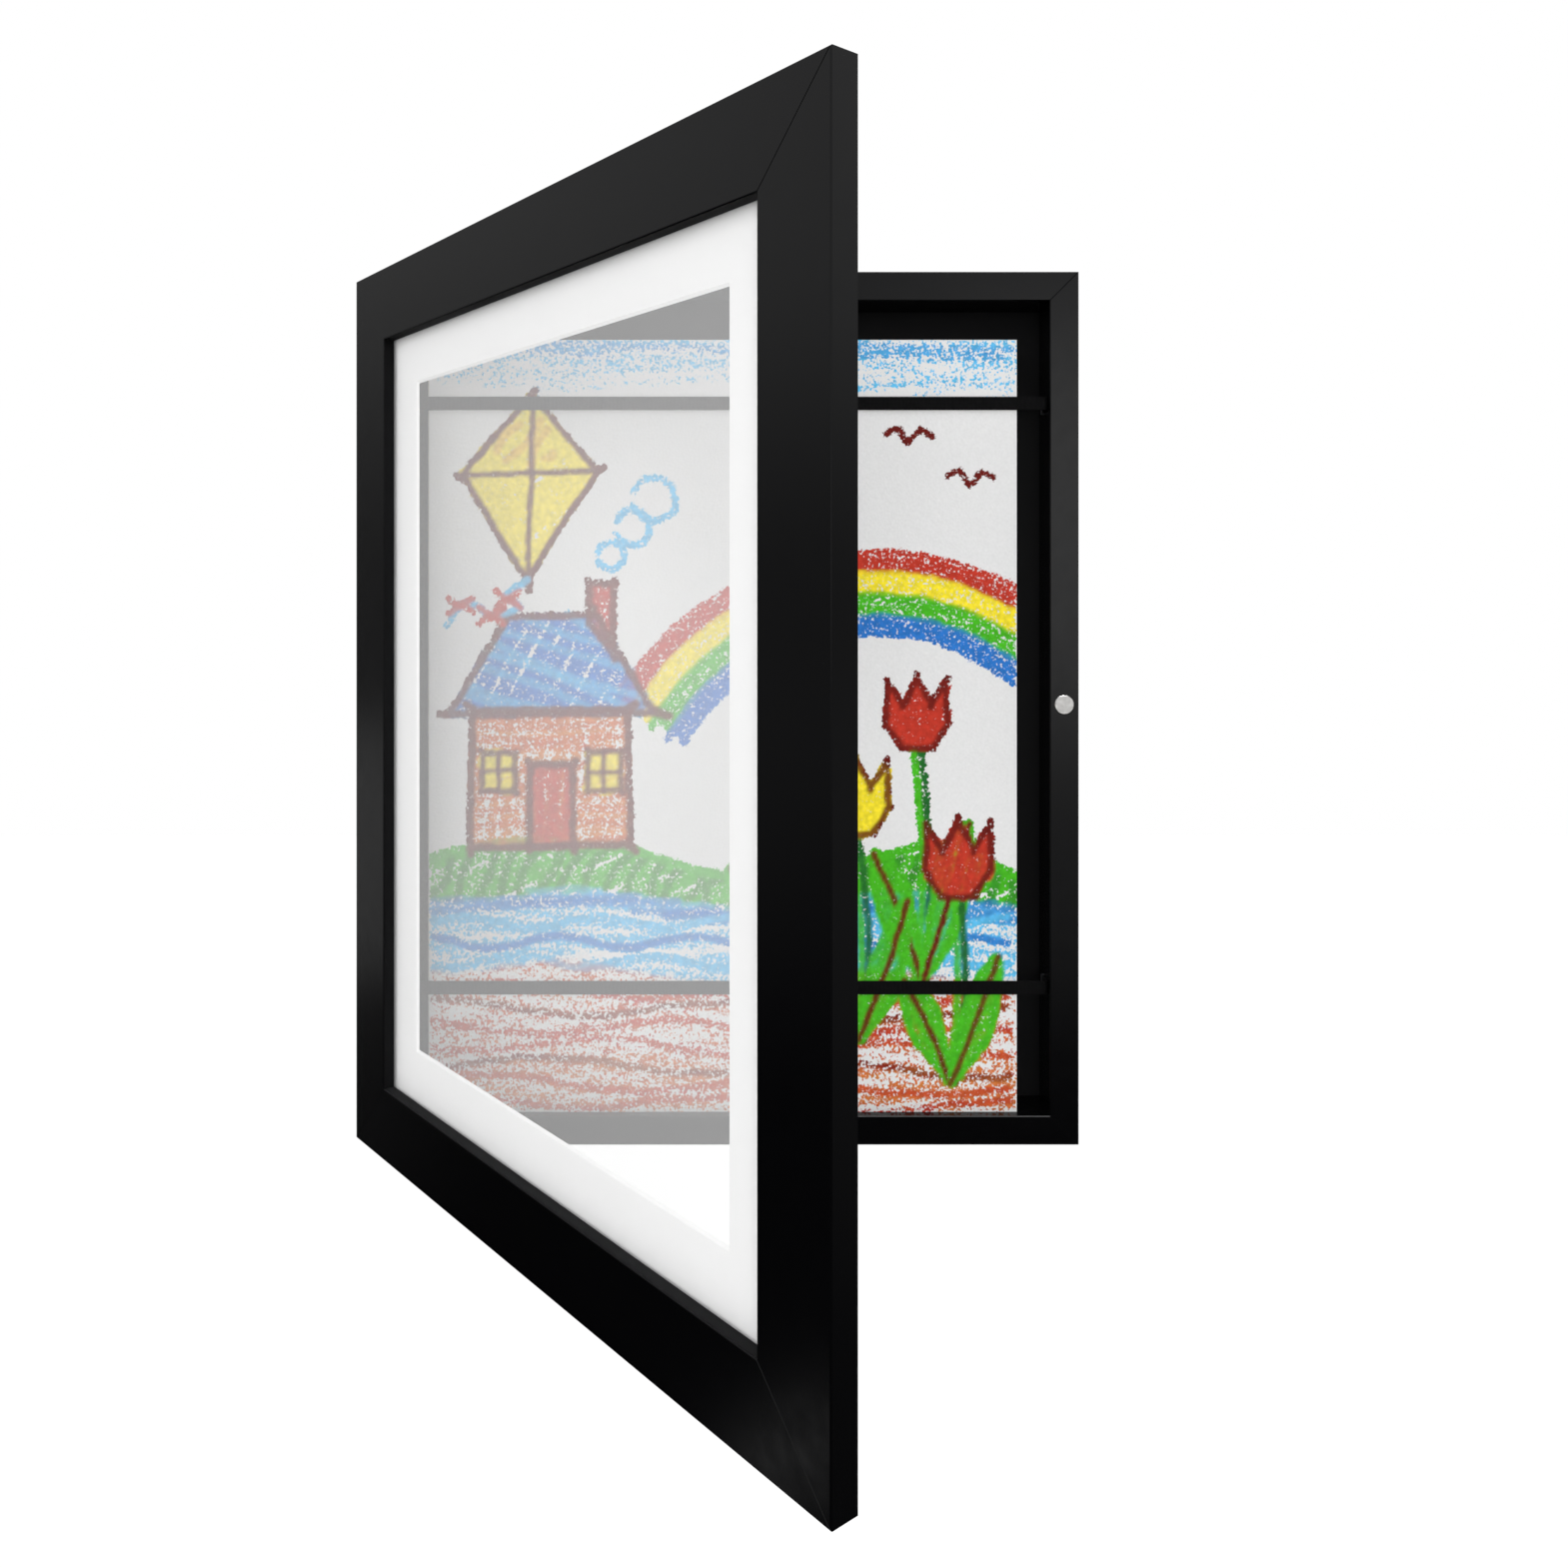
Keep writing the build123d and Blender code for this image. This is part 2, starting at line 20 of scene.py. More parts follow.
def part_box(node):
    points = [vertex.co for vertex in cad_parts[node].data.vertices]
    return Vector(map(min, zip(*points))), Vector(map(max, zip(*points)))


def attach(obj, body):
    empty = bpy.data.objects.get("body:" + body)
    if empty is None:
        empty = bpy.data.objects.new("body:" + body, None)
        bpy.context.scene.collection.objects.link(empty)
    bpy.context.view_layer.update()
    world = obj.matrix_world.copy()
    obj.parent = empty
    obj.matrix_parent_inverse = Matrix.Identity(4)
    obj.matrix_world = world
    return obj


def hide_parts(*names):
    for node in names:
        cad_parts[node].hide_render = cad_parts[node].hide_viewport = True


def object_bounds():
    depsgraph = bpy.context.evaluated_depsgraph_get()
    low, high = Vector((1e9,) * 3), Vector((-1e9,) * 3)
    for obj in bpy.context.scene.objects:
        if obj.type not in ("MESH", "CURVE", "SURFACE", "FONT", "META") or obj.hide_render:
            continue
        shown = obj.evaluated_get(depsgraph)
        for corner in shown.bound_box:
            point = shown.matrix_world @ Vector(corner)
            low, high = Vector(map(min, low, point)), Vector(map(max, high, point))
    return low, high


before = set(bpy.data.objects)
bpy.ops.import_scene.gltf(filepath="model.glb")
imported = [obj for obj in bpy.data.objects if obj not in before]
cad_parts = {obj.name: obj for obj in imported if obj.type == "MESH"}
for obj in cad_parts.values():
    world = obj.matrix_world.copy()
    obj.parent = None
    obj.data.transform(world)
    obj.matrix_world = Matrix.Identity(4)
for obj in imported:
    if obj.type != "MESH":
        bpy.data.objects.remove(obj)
cad_low, cad_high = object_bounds()

log = logging.getLogger("art_frame")

Point = tuple[float, float]
Triple = tuple[float, float, float]
Piece = bpy.types.Object
Material = bpy.types.Material
Node = bpy.types.Node
Socket = bpy.types.NodeSocket
Tree = bpy.types.NodeTree

MM = 0.001
IMAGE_PIXELS = 1569
DOOR_TURN = math.radians(-50.0)
DOOR_HINGE = (-0.1455, -0.0285, -0.161)
WHITE = (1.0, 1.0, 1.0, 1.0)
UP = (0.0, 0.0, 1.0)
BACK = (0.0, 1.0, 0.0)

# the Mix node's numbered inputs for two values and for two colours
VALUE_A, VALUE_B, COLOUR_A, COLOUR_B = 2, 3, 6, 7

# ends of a pattern: all of it, nearly all of a noise, and most of a noise
WHOLE = (0.0, 1.0)
NOISE_ENDS = (0.3, 0.7)
CLOSE_ENDS = (0.35, 0.65)


# Nodes


def linear(colour: str) -> tuple[float, float, float, float]:
    """Turns an sRGB hex colour into the linear colour that Blender's sockets take.

    Args:
        colour: Six hex digits after a hash sign.

    Returns:
        Linear red, green and blue, and an alpha of 1.
    """
    parts = [int(colour[place : place + 2], 16) / 255 for place in (1, 3, 5)]
    red, green, blue = (p / 12.92 if p <= 0.04045 else ((p + 0.055) / 1.055) ** 2.4 for p in parts)
    return red, green, blue, 1.0


def add_node(tree: Tree, kind: str, inputs: dict[Any, Any] | None = None, **settings: Any) -> Node:
    """Adds a node, sets its properties, and links or sets its inputs.

    Args:
        tree: The node tree.
        kind: The node's Blender type name.
        inputs: For each input's name or number, the socket or node that feeds it, or the value that it holds.
            A node feeds it from its first output in use.
        settings: The node's own properties.

    Returns:
        The new node.
    """
    node = tree.nodes.new(kind)
    for name, value in settings.items():
        setattr(node, name, value)
    for name, value in (inputs or {}).items():
        if isinstance(value, Node):
            value = next(output for output in value.outputs if output.enabled)
        if isinstance(value, Socket):
            tree.links.new(value, node.inputs[name])
        else:
            node.inputs[name].default_value = value
    return node


def empty_tree(owner: Material | bpy.types.World) -> Tree:
    """Gives a material or a world an empty node tree.

    Args:
        owner: The material or the world.

    Returns:
        Its tree.
    """
    owner.use_nodes = True
    owner.node_tree.nodes.clear()
    return owner.node_tree


def place_in_mm(tree: Tree, turn: float = 0.0, stretch: Triple = (1, 1, 1)) -> Node:
    """Gives the point on the piece in millimetres, turned about the vertical and stretched.

    Args:
        tree: The node tree.
        turn: Angle about the vertical in radians.
        stretch: Factor on each turned axis; a small one draws the pattern out along that axis.

    Returns:
        The node that gives the point.
    """
    place = add_node(tree, "ShaderNodeTexCoord").outputs["Object"]
    turned = add_node(tree, "ShaderNodeMapping", {"Vector": place, "Rotation": (0, 0, turn)})
    scale = tuple(factor / MM for factor in stretch)
    return add_node(tree, "ShaderNodeMapping", {"Vector": turned, "Scale": scale})


def grain(tree: Tree, size_mm: float, detail: float = 2.0, values: Point | None = None, **lay: Any) -> Node:
    """Lays a noise over a piece, its patches about one real size across.

    Args:
        tree: The node tree.
        size_mm: Width of a patch.
        detail: Octaves of finer noise.
        values: What the ends of the noise become, or None to leave it as it is.
        lay: The turn and the stretch that place_in_mm takes.

    Returns:
        The node that gives the grain.
    """
    inputs = {"Vector": place_in_mm(tree, **lay), "Scale": 1 / size_mm, "Detail": detail}
    noise = add_node(tree, "ShaderNodeTexNoise", inputs)
    if values is None:
        return noise
    ends = dict(zip(("From Min", "From Max", "To Min", "To Max"), NOISE_ENDS + values))
    return add_node(tree, "ShaderNodeMapRange", {"Value": noise, **ends})


def two_tone(tree: Tree, pattern: Any, low: str | Node, high: str | Node, ends: Point = NOISE_ENDS) -> Node:
    """Spreads a pattern between two colours.

    Args:
        tree: The node tree.
        pattern: The pattern's node or socket.
        low: Colour at its low end, as sRGB hex or as the node that gives it.
        high: Colour at its high end, likewise.
        ends: Where those ends lie.

    Returns:
        The node that gives the colour.
    """
    inputs = {"Value": pattern, "From Min": ends[0], "From Max": ends[1]}
    share = add_node(tree, "ShaderNodeMapRange", inputs)
    tones = (linear(tone) if isinstance(tone, str) else tone for tone in (low, high))
    inputs = {"Factor": share, **dict(zip((COLOUR_A, COLOUR_B), tones))}
    return add_node(tree, "ShaderNodeMix", inputs, data_type="RGBA")


# Finishes


class Lay(Enum):
    """How the wood of a moulding lies: the stretch of its pores along its length."""

    UPRIGHT = (1.0, 1.0, 0.02)
    LEVEL = (0.02, 1.0, 1.0)


class Leaf(Enum):
    """Which rectangle of mouldings a piece belongs to: the turn that closes it."""

    BOX = 0.0
    DOOR = -DOOR_TURN


class Wax(Enum):
    """The crayons of the drawing."""

    LEMON = "#F3DF2E"
    SKY = "#5CBBE8"
    COBALT = "#2A74C6"
    LEAF = "#45B51D"
    MOSS = "#1D6526"
    BARK = "#64120A"
    BRICK = "#BE3524"
    SAND = "#D5843C"


@dataclass(frozen=True)
class Finish:
    """What every finish says of itself, and how that becomes a material.

    The gloss is the shader's specular level. A height of 1 in the relief stands relief_mm high.
    """

    name: str
    colour: str
    roughness: float = 0.5
    gloss: float = 0.5
    metallic: float = 0.0
    relief_mm: float = 0.0
    relief_strength: float = 0.0

    def coat(self, tree: Tree) -> dict[str, Any]:
        """Gives the shader's further inputs, and the height of the relief where there is one."""
        return {}

    def material(self) -> Material:
        """Builds the material.

        Returns:
            A material with one Principled shader, which takes the finish's own values and its coat.
        """
        material = bpy.data.materials.new(self.name)
        tree = empty_tree(material)
        inputs = {"Base Color": linear(self.colour), "Roughness": self.roughness, "Metallic": self.metallic}
        inputs |= {"Specular IOR Level": self.gloss} | self.coat(tree)
        if "Height" in inputs:
            relief = {"Distance": self.relief_mm * MM, "Strength": self.relief_strength}
            inputs["Normal"] = add_node(tree, "ShaderNodeBump", {"Height": inputs.pop("Height"), **relief})
        shader = add_node(tree, "ShaderNodeBsdfPrincipled", inputs)
        add_node(tree, "ShaderNodeOutputMaterial", {"Surface": shader})
        return material


@dataclass(frozen=True)
class SatinBlackLacquer(Finish):
    """Black lacquer sprayed over close-grained hardwood and left satin.

    It gives a near-black face with a broad soft sheen, a trace of the pores drawn out along each moulding,
    and a gentle unevenness from the spray. The thin edges round the door's opening catch little of the spray
    and stay dull.
    """

    leaf: Leaf = Leaf.BOX
    lay: Lay = Lay.UPRIGHT
    colour: str = "#050506"
    gloss: float = 0.15
    relief_mm: float = 0.0025
    relief_strength: float = 0.35
    pore_mm: float = 0.9
    spray_mm: float = 7.0
    spray_roughness: Point = (0.15, 0.19)
    dull_roughness: float = 0.8
    middle_mm: Triple = (0.0, 0.0, -161.0)
    half_inside_mm: Point = (139.0, 175.0)
    inward_limit: float = 0.5

    def coat(self, tree: Tree) -> dict[str, Any]:
        """Lays the pores and the uneven spray, dull on the inner edges of the door.

        Args:
            tree: The material's node tree.

        Returns:
            The roughness and the height.
        """
        rough = grain(tree, self.spray_mm, values=self.spray_roughness)
        if self.leaf is Leaf.DOOR:
            inputs = {"Factor": self.inner_edges(tree), VALUE_A: rough, VALUE_B: self.dull_roughness}
            rough = add_node(tree, "ShaderNodeMix", inputs, data_type="FLOAT")
        pores = grain(tree, self.pore_mm, detail=3.0, turn=self.leaf.value, stretch=self.lay.value)
        return {"Roughness": rough, "Height": pores}

    def inner_edges(self, tree: Tree) -> Node:
        """Picks out the edges that look inwards: square to the frame's face, and well in from its outside.

        Args:
            tree: The material's node tree.

        Returns:
            The node that gives 1 on those edges and 0 elsewhere.
        """
        turn = self.leaf.value
        hinge = Vector(DOOR_HINGE)
        away = (hinge - Matrix.Rotation(turn, 3, "Z") @ hinge) / MM - Vector(self.middle_mm)
        ends = add_node(tree, "ShaderNodeTexCoord").outputs
        shift = {"Vector": ends["Object"], "Location": away, "Rotation": (0, 0, turn), "Scale": (1 / MM,) * 3}
        spot = add_node(tree, "ShaderNodeMapping", shift)
        shift = {"Vector": ends["Normal"], "Rotation": (0, 0, turn)}
        facing = add_node(tree, "ShaderNodeMapping", shift, vector_type="VECTOR")
        width, height = self.half_inside_mm
        found: Any = 1.0
        for way, axis, limit in ((spot, "X", width), (spot, "Z", height), (facing, "Y", self.inward_limit)):
            part = add_node(tree, "ShaderNodeSeparateXYZ", {"Vector": way}).outputs[axis]
            length = add_node(tree, "ShaderNodeMath", {0: part}, operation="ABSOLUTE")
            near = add_node(tree, "ShaderNodeMath", {0: length, 1: limit}, operation="LESS_THAN")
            found = add_node(tree, "ShaderNodeMath", {0: near, 1: found}, operation="MULTIPLY")
        return found


@dataclass(frozen=True)
class FacedHardboard(Finish):
    """Pressed hardboard with a black paper face towards the drawings.

    The face is matt black; the bare back is brown with short crossed fibres.
    """

    name: str = "black_faced_hardboard"
    colour: str = "#101011"
    board_colour: str = "#6B4A2F"
    fibre_colour: str = "#8A6444"
    roughness: float = 0.7
    gloss: float = 0.1
    relief_mm: float = 0.04
    relief_strength: float = 0.4
    fibre_mm: float = 0.9
    fibre_stretch: Triple = (0.35, 1, 1)
    bare_behind_mm: float = -4.5

    def coat(self, tree: Tree) -> dict[str, Any]:
        """Lays the black face in front of one depth, and the brown fibres behind it.

        Args:
            tree: The material's node tree.

        Returns:
            The colour and the height.
        """
        fibres = grain(tree, self.fibre_mm, detail=5.0, stretch=self.fibre_stretch)
        depth = add_node(tree, "ShaderNodeSeparateXYZ", {"Vector": place_in_mm(tree)}).outputs["Y"]
        bare = add_node(tree, "ShaderNodeMath", {0: depth, 1: self.bare_behind_mm}, operation="GREATER_THAN")
        board = two_tone(tree, fibres, self.board_colour, self.fibre_colour, CLOSE_ENDS)
        return {"Base Color": two_tone(tree, bare, self.colour, board, WHOLE), "Height": fibres}


@dataclass(frozen=True)
class MatBoard(Finish):
    """Smooth white mat board: a facing paper on a bleached core that shows where the window is cut.

    It gives an even, quite matt white with only a trace of the fibres, and a whiter line round the window.
    """

    name: str = "mat_facing_paper"
    shade: str = "#EDEDED"
    colour: str = "#F2F2F2"
    roughness: float = 0.85
    gloss: float = 0.2
    relief_mm: float = 0.02
    relief_strength: float = 0.3
    fibre_mm: float = 0.35

    def coat(self, tree: Tree) -> dict[str, Any]:
        """Gives the tone and the height of the fibres."""
        fibres = grain(tree, self.fibre_mm, detail=3.0)
        return {"Base Color": two_tone(tree, fibres, self.shade, self.colour), "Height": fibres}


@dataclass(frozen=True)
class StackedPaper(Finish):
    """Many sheets of cartridge paper seen on edge.

    It gives a white block ruled with fine grey lines of painted shade in the gaps between sheets, one for
    every few sheets.
    """

    name: str = "stacked_paper"
    colour: str = "#DEDCD4"
    gap_shade_colour: str = "#9A978F"
    roughness: float = 0.9
    gloss: float = 0.15
    pitch_mm: float = 0.43
    patch_mm: float = 0.5
    patch_stretch: Triple = (0.05, 1, 0.05)
    patch_values: Point = (0.2, 1.0)

    def coat(self, tree: Tree) -> dict[str, Any]:
        """Rules the lines of painted shade between the sheets, fainter in patches.

        Args:
            tree: The material's node tree.

        Returns:
            The colour.
        """
        # the grey lines are painted shade: they darken the gaps between the sheets, where shade falls
        depth = add_node(tree, "ShaderNodeSeparateXYZ", {"Vector": place_in_mm(tree)}).outputs["Y"]
        lines = add_node(tree, "ShaderNodeMath", {0: depth, 1: self.pitch_mm / 4}, operation="PINGPONG")
        inputs = {"Value": lines, "From Max": self.pitch_mm / 6, "To Min": 1.0, "To Max": 0.0}
        ruled = add_node(tree, "ShaderNodeMapRange", inputs)
        uneven = grain(tree, self.patch_mm, values=self.patch_values, stretch=self.patch_stretch)
        share = add_node(tree, "ShaderNodeMath", {0: ruled, 1: uneven}, operation="MULTIPLY")
        return {"Base Color": two_tone(tree, share, self.colour, self.gap_shade_colour, WHOLE)}


@dataclass(frozen=True)
class CrayonOnPaper(Finish):
    """Wax crayon rubbed on white cartridge paper.

    Wax takes on the high spots of the paper's tooth first, so light strokes are speckled with bare paper and
    only hard ones close up. The tooth is drawn two to three times as coarse as the real one, to show at all.
    """

    name: str = "crayon_on_cartridge_paper"
    colour: str = "#E6E6E6"
    shade: str = "#E0E0E0"
    roughness: float = 0.9
    wax_roughness: float = 0.55
    gloss: float = 0.15
    relief_mm: float = 0.09
    relief_strength: float = 0.6
    tooth_mm: float = 1.0
    patch_mm: float = 2.2
    patch_values: Point = (0.82, 1.14)
    ragged: float = 0.1
    wax_height: float = 0.7

    def coat(self, tree: Tree) -> dict[str, Any]:
        """Lays the wax that the sheet's own attribute names: a colour, and the amount as its alpha.

        Args:
            tree: The material's node tree.

        Returns:
            The colour, the roughness and the height.
        """
        tooth = grain(tree, self.tooth_mm, detail=4.0, values=WHOLE)
        wax = add_node(tree, "ShaderNodeAttribute", attribute_name="wax").outputs
        taken = add_node(tree, "ShaderNodeMath", {0: wax["Alpha"], 1: tooth}, operation="ADD")
        inputs = {"Value": taken, "From Min": 1 - self.ragged, "From Max": 1 + self.ragged}
        share = add_node(tree, "ShaderNodeMapRange", inputs)
        paper = two_tone(tree, tooth, self.shade, self.colour, WHOLE)
        thick = grain(tree, self.patch_mm, detail=3.0, values=self.patch_values)
        rubbed = add_node(tree, "ShaderNodeHueSaturation", {"Color": wax["Color"], "Value": thick})
        tone = two_tone(tree, share, paper, rubbed, WHOLE)
        inputs = {"Value": share, "To Min": self.roughness, "To Max": self.wax_roughness}
        rough = add_node(tree, "ShaderNodeMapRange", inputs)
        inputs = {0: share, 1: self.wax_height, 2: tooth}
        height = add_node(tree, "ShaderNodeMath", inputs, operation="MULTIPLY_ADD")
        return {"Base Color": tone, "Roughness": rough, "Height": height}


@dataclass(frozen=True)
class PaintedReflectionAcrylic(Finish):
    """Clear acrylic sheet under a white veil of painted reflection, standing in for the white surroundings
    that the sheet mirrors.

    It lets the drawing show through under this milky veil of painted reflection, about a third in all, shared
    by its two faces.
    """

    name: str = "clear_acrylic"
    colour: str = "#FFFFFF"
    roughness: float = 0.3
    gloss: float = 0.3
    bending: float = 1.49
    painted_reflection_of_a_face: float = 0.19

    def coat(self, tree: Tree) -> dict[str, Any]:
        """Gives the veil of painted reflection and how far the sheet bends light."""
        # the white, partly opaque layer is painted reflection of the bright surroundings, laid over the sheet
        return {"Alpha": self.painted_reflection_of_a_face, "IOR": self.bending}


@dataclass(frozen=True)
class WovenElastic(Finish):
    """Flat black elastic, woven of polyester over rubber cores.

    It gives a matt black strap with fine cross threads; the ribs along it are in its mesh. A wave texture
    draws about three threads in each of its units.
    """

    name: str = "black_elastic"
    colour: str = "#050505"
    thread_colour: str = "#0D0D0E"
    roughness: float = 0.85
    gloss: float = 0.08
    relief_mm: float = 0.12
    relief_strength: float = 0.6
    thread_mm: float = 0.6
    threads_in_unit: int = 3
    wander: float = 0.4

    def coat(self, tree: Tree) -> dict[str, Any]:
        """Weaves the cross threads.

        Args:
            tree: The material's node tree.

        Returns:
            The colour and the height.
        """
        inputs = {"Vector": place_in_mm(tree), "Scale": 1 / self.thread_mm / self.threads_in_unit}
        inputs |= {"Distortion": self.wander, "Detail": 1.0}
        threads = add_node(tree, "ShaderNodeTexWave", inputs, bands_direction="X").outputs["Fac"]
        tone = two_tone(tree, threads, self.colour, self.thread_colour, WHOLE)
        return {"Base Color": tone, "Height": threads}


@dataclass(frozen=True)
class NickelPlate(Finish):
    """Bright nickel over a sintered magnet.

    It gives a pale, slightly warm metal face whose reflections are a little soft.
    """

    name: str = "nickel_plated_magnet"
    colour: str = "#BFBEBC"
    metallic: float = 1.0
    stain_mm: float = 1.2
    stain_roughness: Point = (0.29, 0.42)

    def coat(self, tree: Tree) -> dict[str, Any]:
        """Gives the roughness, uneven with stains."""
        return {"Roughness": grain(tree, self.stain_mm, detail=3.0, values=self.stain_roughness)}


@dataclass(frozen=True)
class ZincPlate(Finish):
    """Bright zinc on small steel pressings.

    It gives a bluish silver with a faint spangle and fine handling marks.
    """

    name: str = "zinc_plated_steel"
    shade: str = "#AEB3B9"
    colour: str = "#C4C7CA"
    metallic: float = 1.0
    spangle_mm: float = 1.5
    mark_mm: float = 0.3
    mark_turn: float = 0.5
    mark_stretch: Triple = (1, 0.1, 1)
    mark_roughness: Point = (0.3, 0.48)

    def coat(self, tree: Tree) -> dict[str, Any]:
        """Lays the spangle and the marks.

        Args:
            tree: The material's node tree.

        Returns:
            The colour and the roughness.
        """
        spangle = two_tone(tree, grain(tree, self.spangle_mm), self.shade, self.colour, CLOSE_ENDS)
        lay = {"turn": self.mark_turn, "stretch": self.mark_stretch}
        marks = grain(tree, self.mark_mm, values=self.mark_roughness, **lay)
        return {"Base Color": spangle, "Roughness": marks}


@dataclass(frozen=True)
class BlackenedSteel(Finish):
    """Steel hinge leaves with a baked black finish.

    It gives a dark metal with a low sheen and slightly paler rubbed spots.
    """

    name: str = "blackened_steel"
    colour: str = "#17181A"
    rubbed_colour: str = "#2B2C2F"
    roughness: float = 0.42
    gloss: float = 0.6
    relief_mm: float = 0.02
    relief_strength: float = 0.3
    patch_mm: float = 2.5
    rubbed_ends: Point = (0.55, 0.75)

    def coat(self, tree: Tree) -> dict[str, Any]:
        """Gives the tone and the height of the rubbed spots."""
        rubbed = grain(tree, self.patch_mm, detail=4.0)
        tone = two_tone(tree, rubbed, self.colour, self.rubbed_colour, self.rubbed_ends)
        return {"Base Color": tone, "Height": rubbed}


# Mesh tools


def deselect_all() -> None:
    """Leaves edit mode and clears the selection."""
    if bpy.context.object and bpy.context.object.mode != "OBJECT":
        bpy.ops.object.mode_set(mode="OBJECT")
    bpy.ops.object.select_all(action="DESELECT")


def make_active(piece: Piece) -> None:
    """Selects one object alone and makes it active.

    Args:
        piece: The object.
    """
    deselect_all()
    piece.select_set(True)
    bpy.context.view_layer.objects.active = piece


def select_parts(piece: Piece, kind: str, wanted: Callable[[Any], bool]) -> None:
    """Enters edit mode with only some vertices, edges or faces selected.

    Args:
        piece: The mesh object.
        kind: VERT, EDGE or FACE.
        wanted: Says of a mesh element whether it is selected.
    """
    make_active(piece)
    bpy.ops.object.mode_set(mode="EDIT")
    bpy.ops.mesh.select_mode(type=kind)
    bpy.ops.mesh.select_all(action="DESELECT")
    bpy.ops.object.mode_set(mode="OBJECT")
    parts = {"VERT": piece.data.vertices, "EDGE": piece.data.edges, "FACE": piece.data.polygons}[kind]
    for part in parts:
        part.select = wanted(part)
    bpy.ops.object.mode_set(mode="EDIT")


def stretch_new(scale: Triple) -> Piece:
    """Scales the object just added and moves its place, turn and scale into its mesh.

    Args:
        scale: The factors on its own axes.

    Returns:
        The object.
    """
    piece = bpy.context.object
    piece.scale = scale
    bpy.ops.object.transform_apply(location=True, rotation=True, scale=True)
    return piece


def settle_in_place(piece: Piece, name: str) -> None:
    """Moves a piece's place, turn and scale into its mesh, with its normals outwards, and names it.

    Args:
        piece: The mesh object.
        name: Its plain name.
    """
    make_active(piece)
    bpy.ops.object.transform_apply(location=True, rotation=True, scale=True)
    bpy.ops.object.mode_set(mode="EDIT")
    bpy.ops.mesh.select_all(action="SELECT")
    bpy.ops.mesh.normals_make_consistent(inside=False)
    bpy.ops.object.mode_set(mode="OBJECT")
    piece.name = piece.data.name = name


def dress_nodes(material: Material, *names: str) -> None:
    """Gives some CAD nodes one finish and reports them.

    Args:
        material: The finish.
        names: The nodes' names.
    """
    for name in names:
        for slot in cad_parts[name].material_slots:
            slot.material = material
        log.info("%s: %s", name, material.name)


# Rigid pieces


@dataclass
class Mouldings:
    """The eight black mouldings of the box and of the door."""

    upright: tuple[str, ...] = ("hinge_stile", "latch_stile")
    level: tuple[str, ...] = ("top_rail", "bottom_rail")

    def dress(self) -> None:
        """Lacquers each moulding with its pores along its length."""
        for leaf in Leaf:
            for lay, names in ((Lay.UPRIGHT, self.upright), (Lay.LEVEL, self.level)):
                name = f"satin_black_lacquer_{leaf.name}_{lay.name}".lower()
                lacquer = SatinBlackLacquer(name=name, leaf=leaf, lay=lay).material()
                dress_nodes(lacquer, *(f"{leaf.name.lower()}_{moulding}" for moulding in names))


@dataclass
class BackPanel:
    """The hardboard back, with its points and the two sawtooth hangers."""

    panel: str = "back_panel"
    fittings: tuple[str, ...] = ("back_panel_points", "portrait_hanger", "landscape_hanger")

    def dress(self, zinc: Material) -> None:
        """Finishes the board and its fittings."""
        dress_nodes(FacedHardboard().material(), self.panel)
        dress_nodes(zinc, *self.fittings)


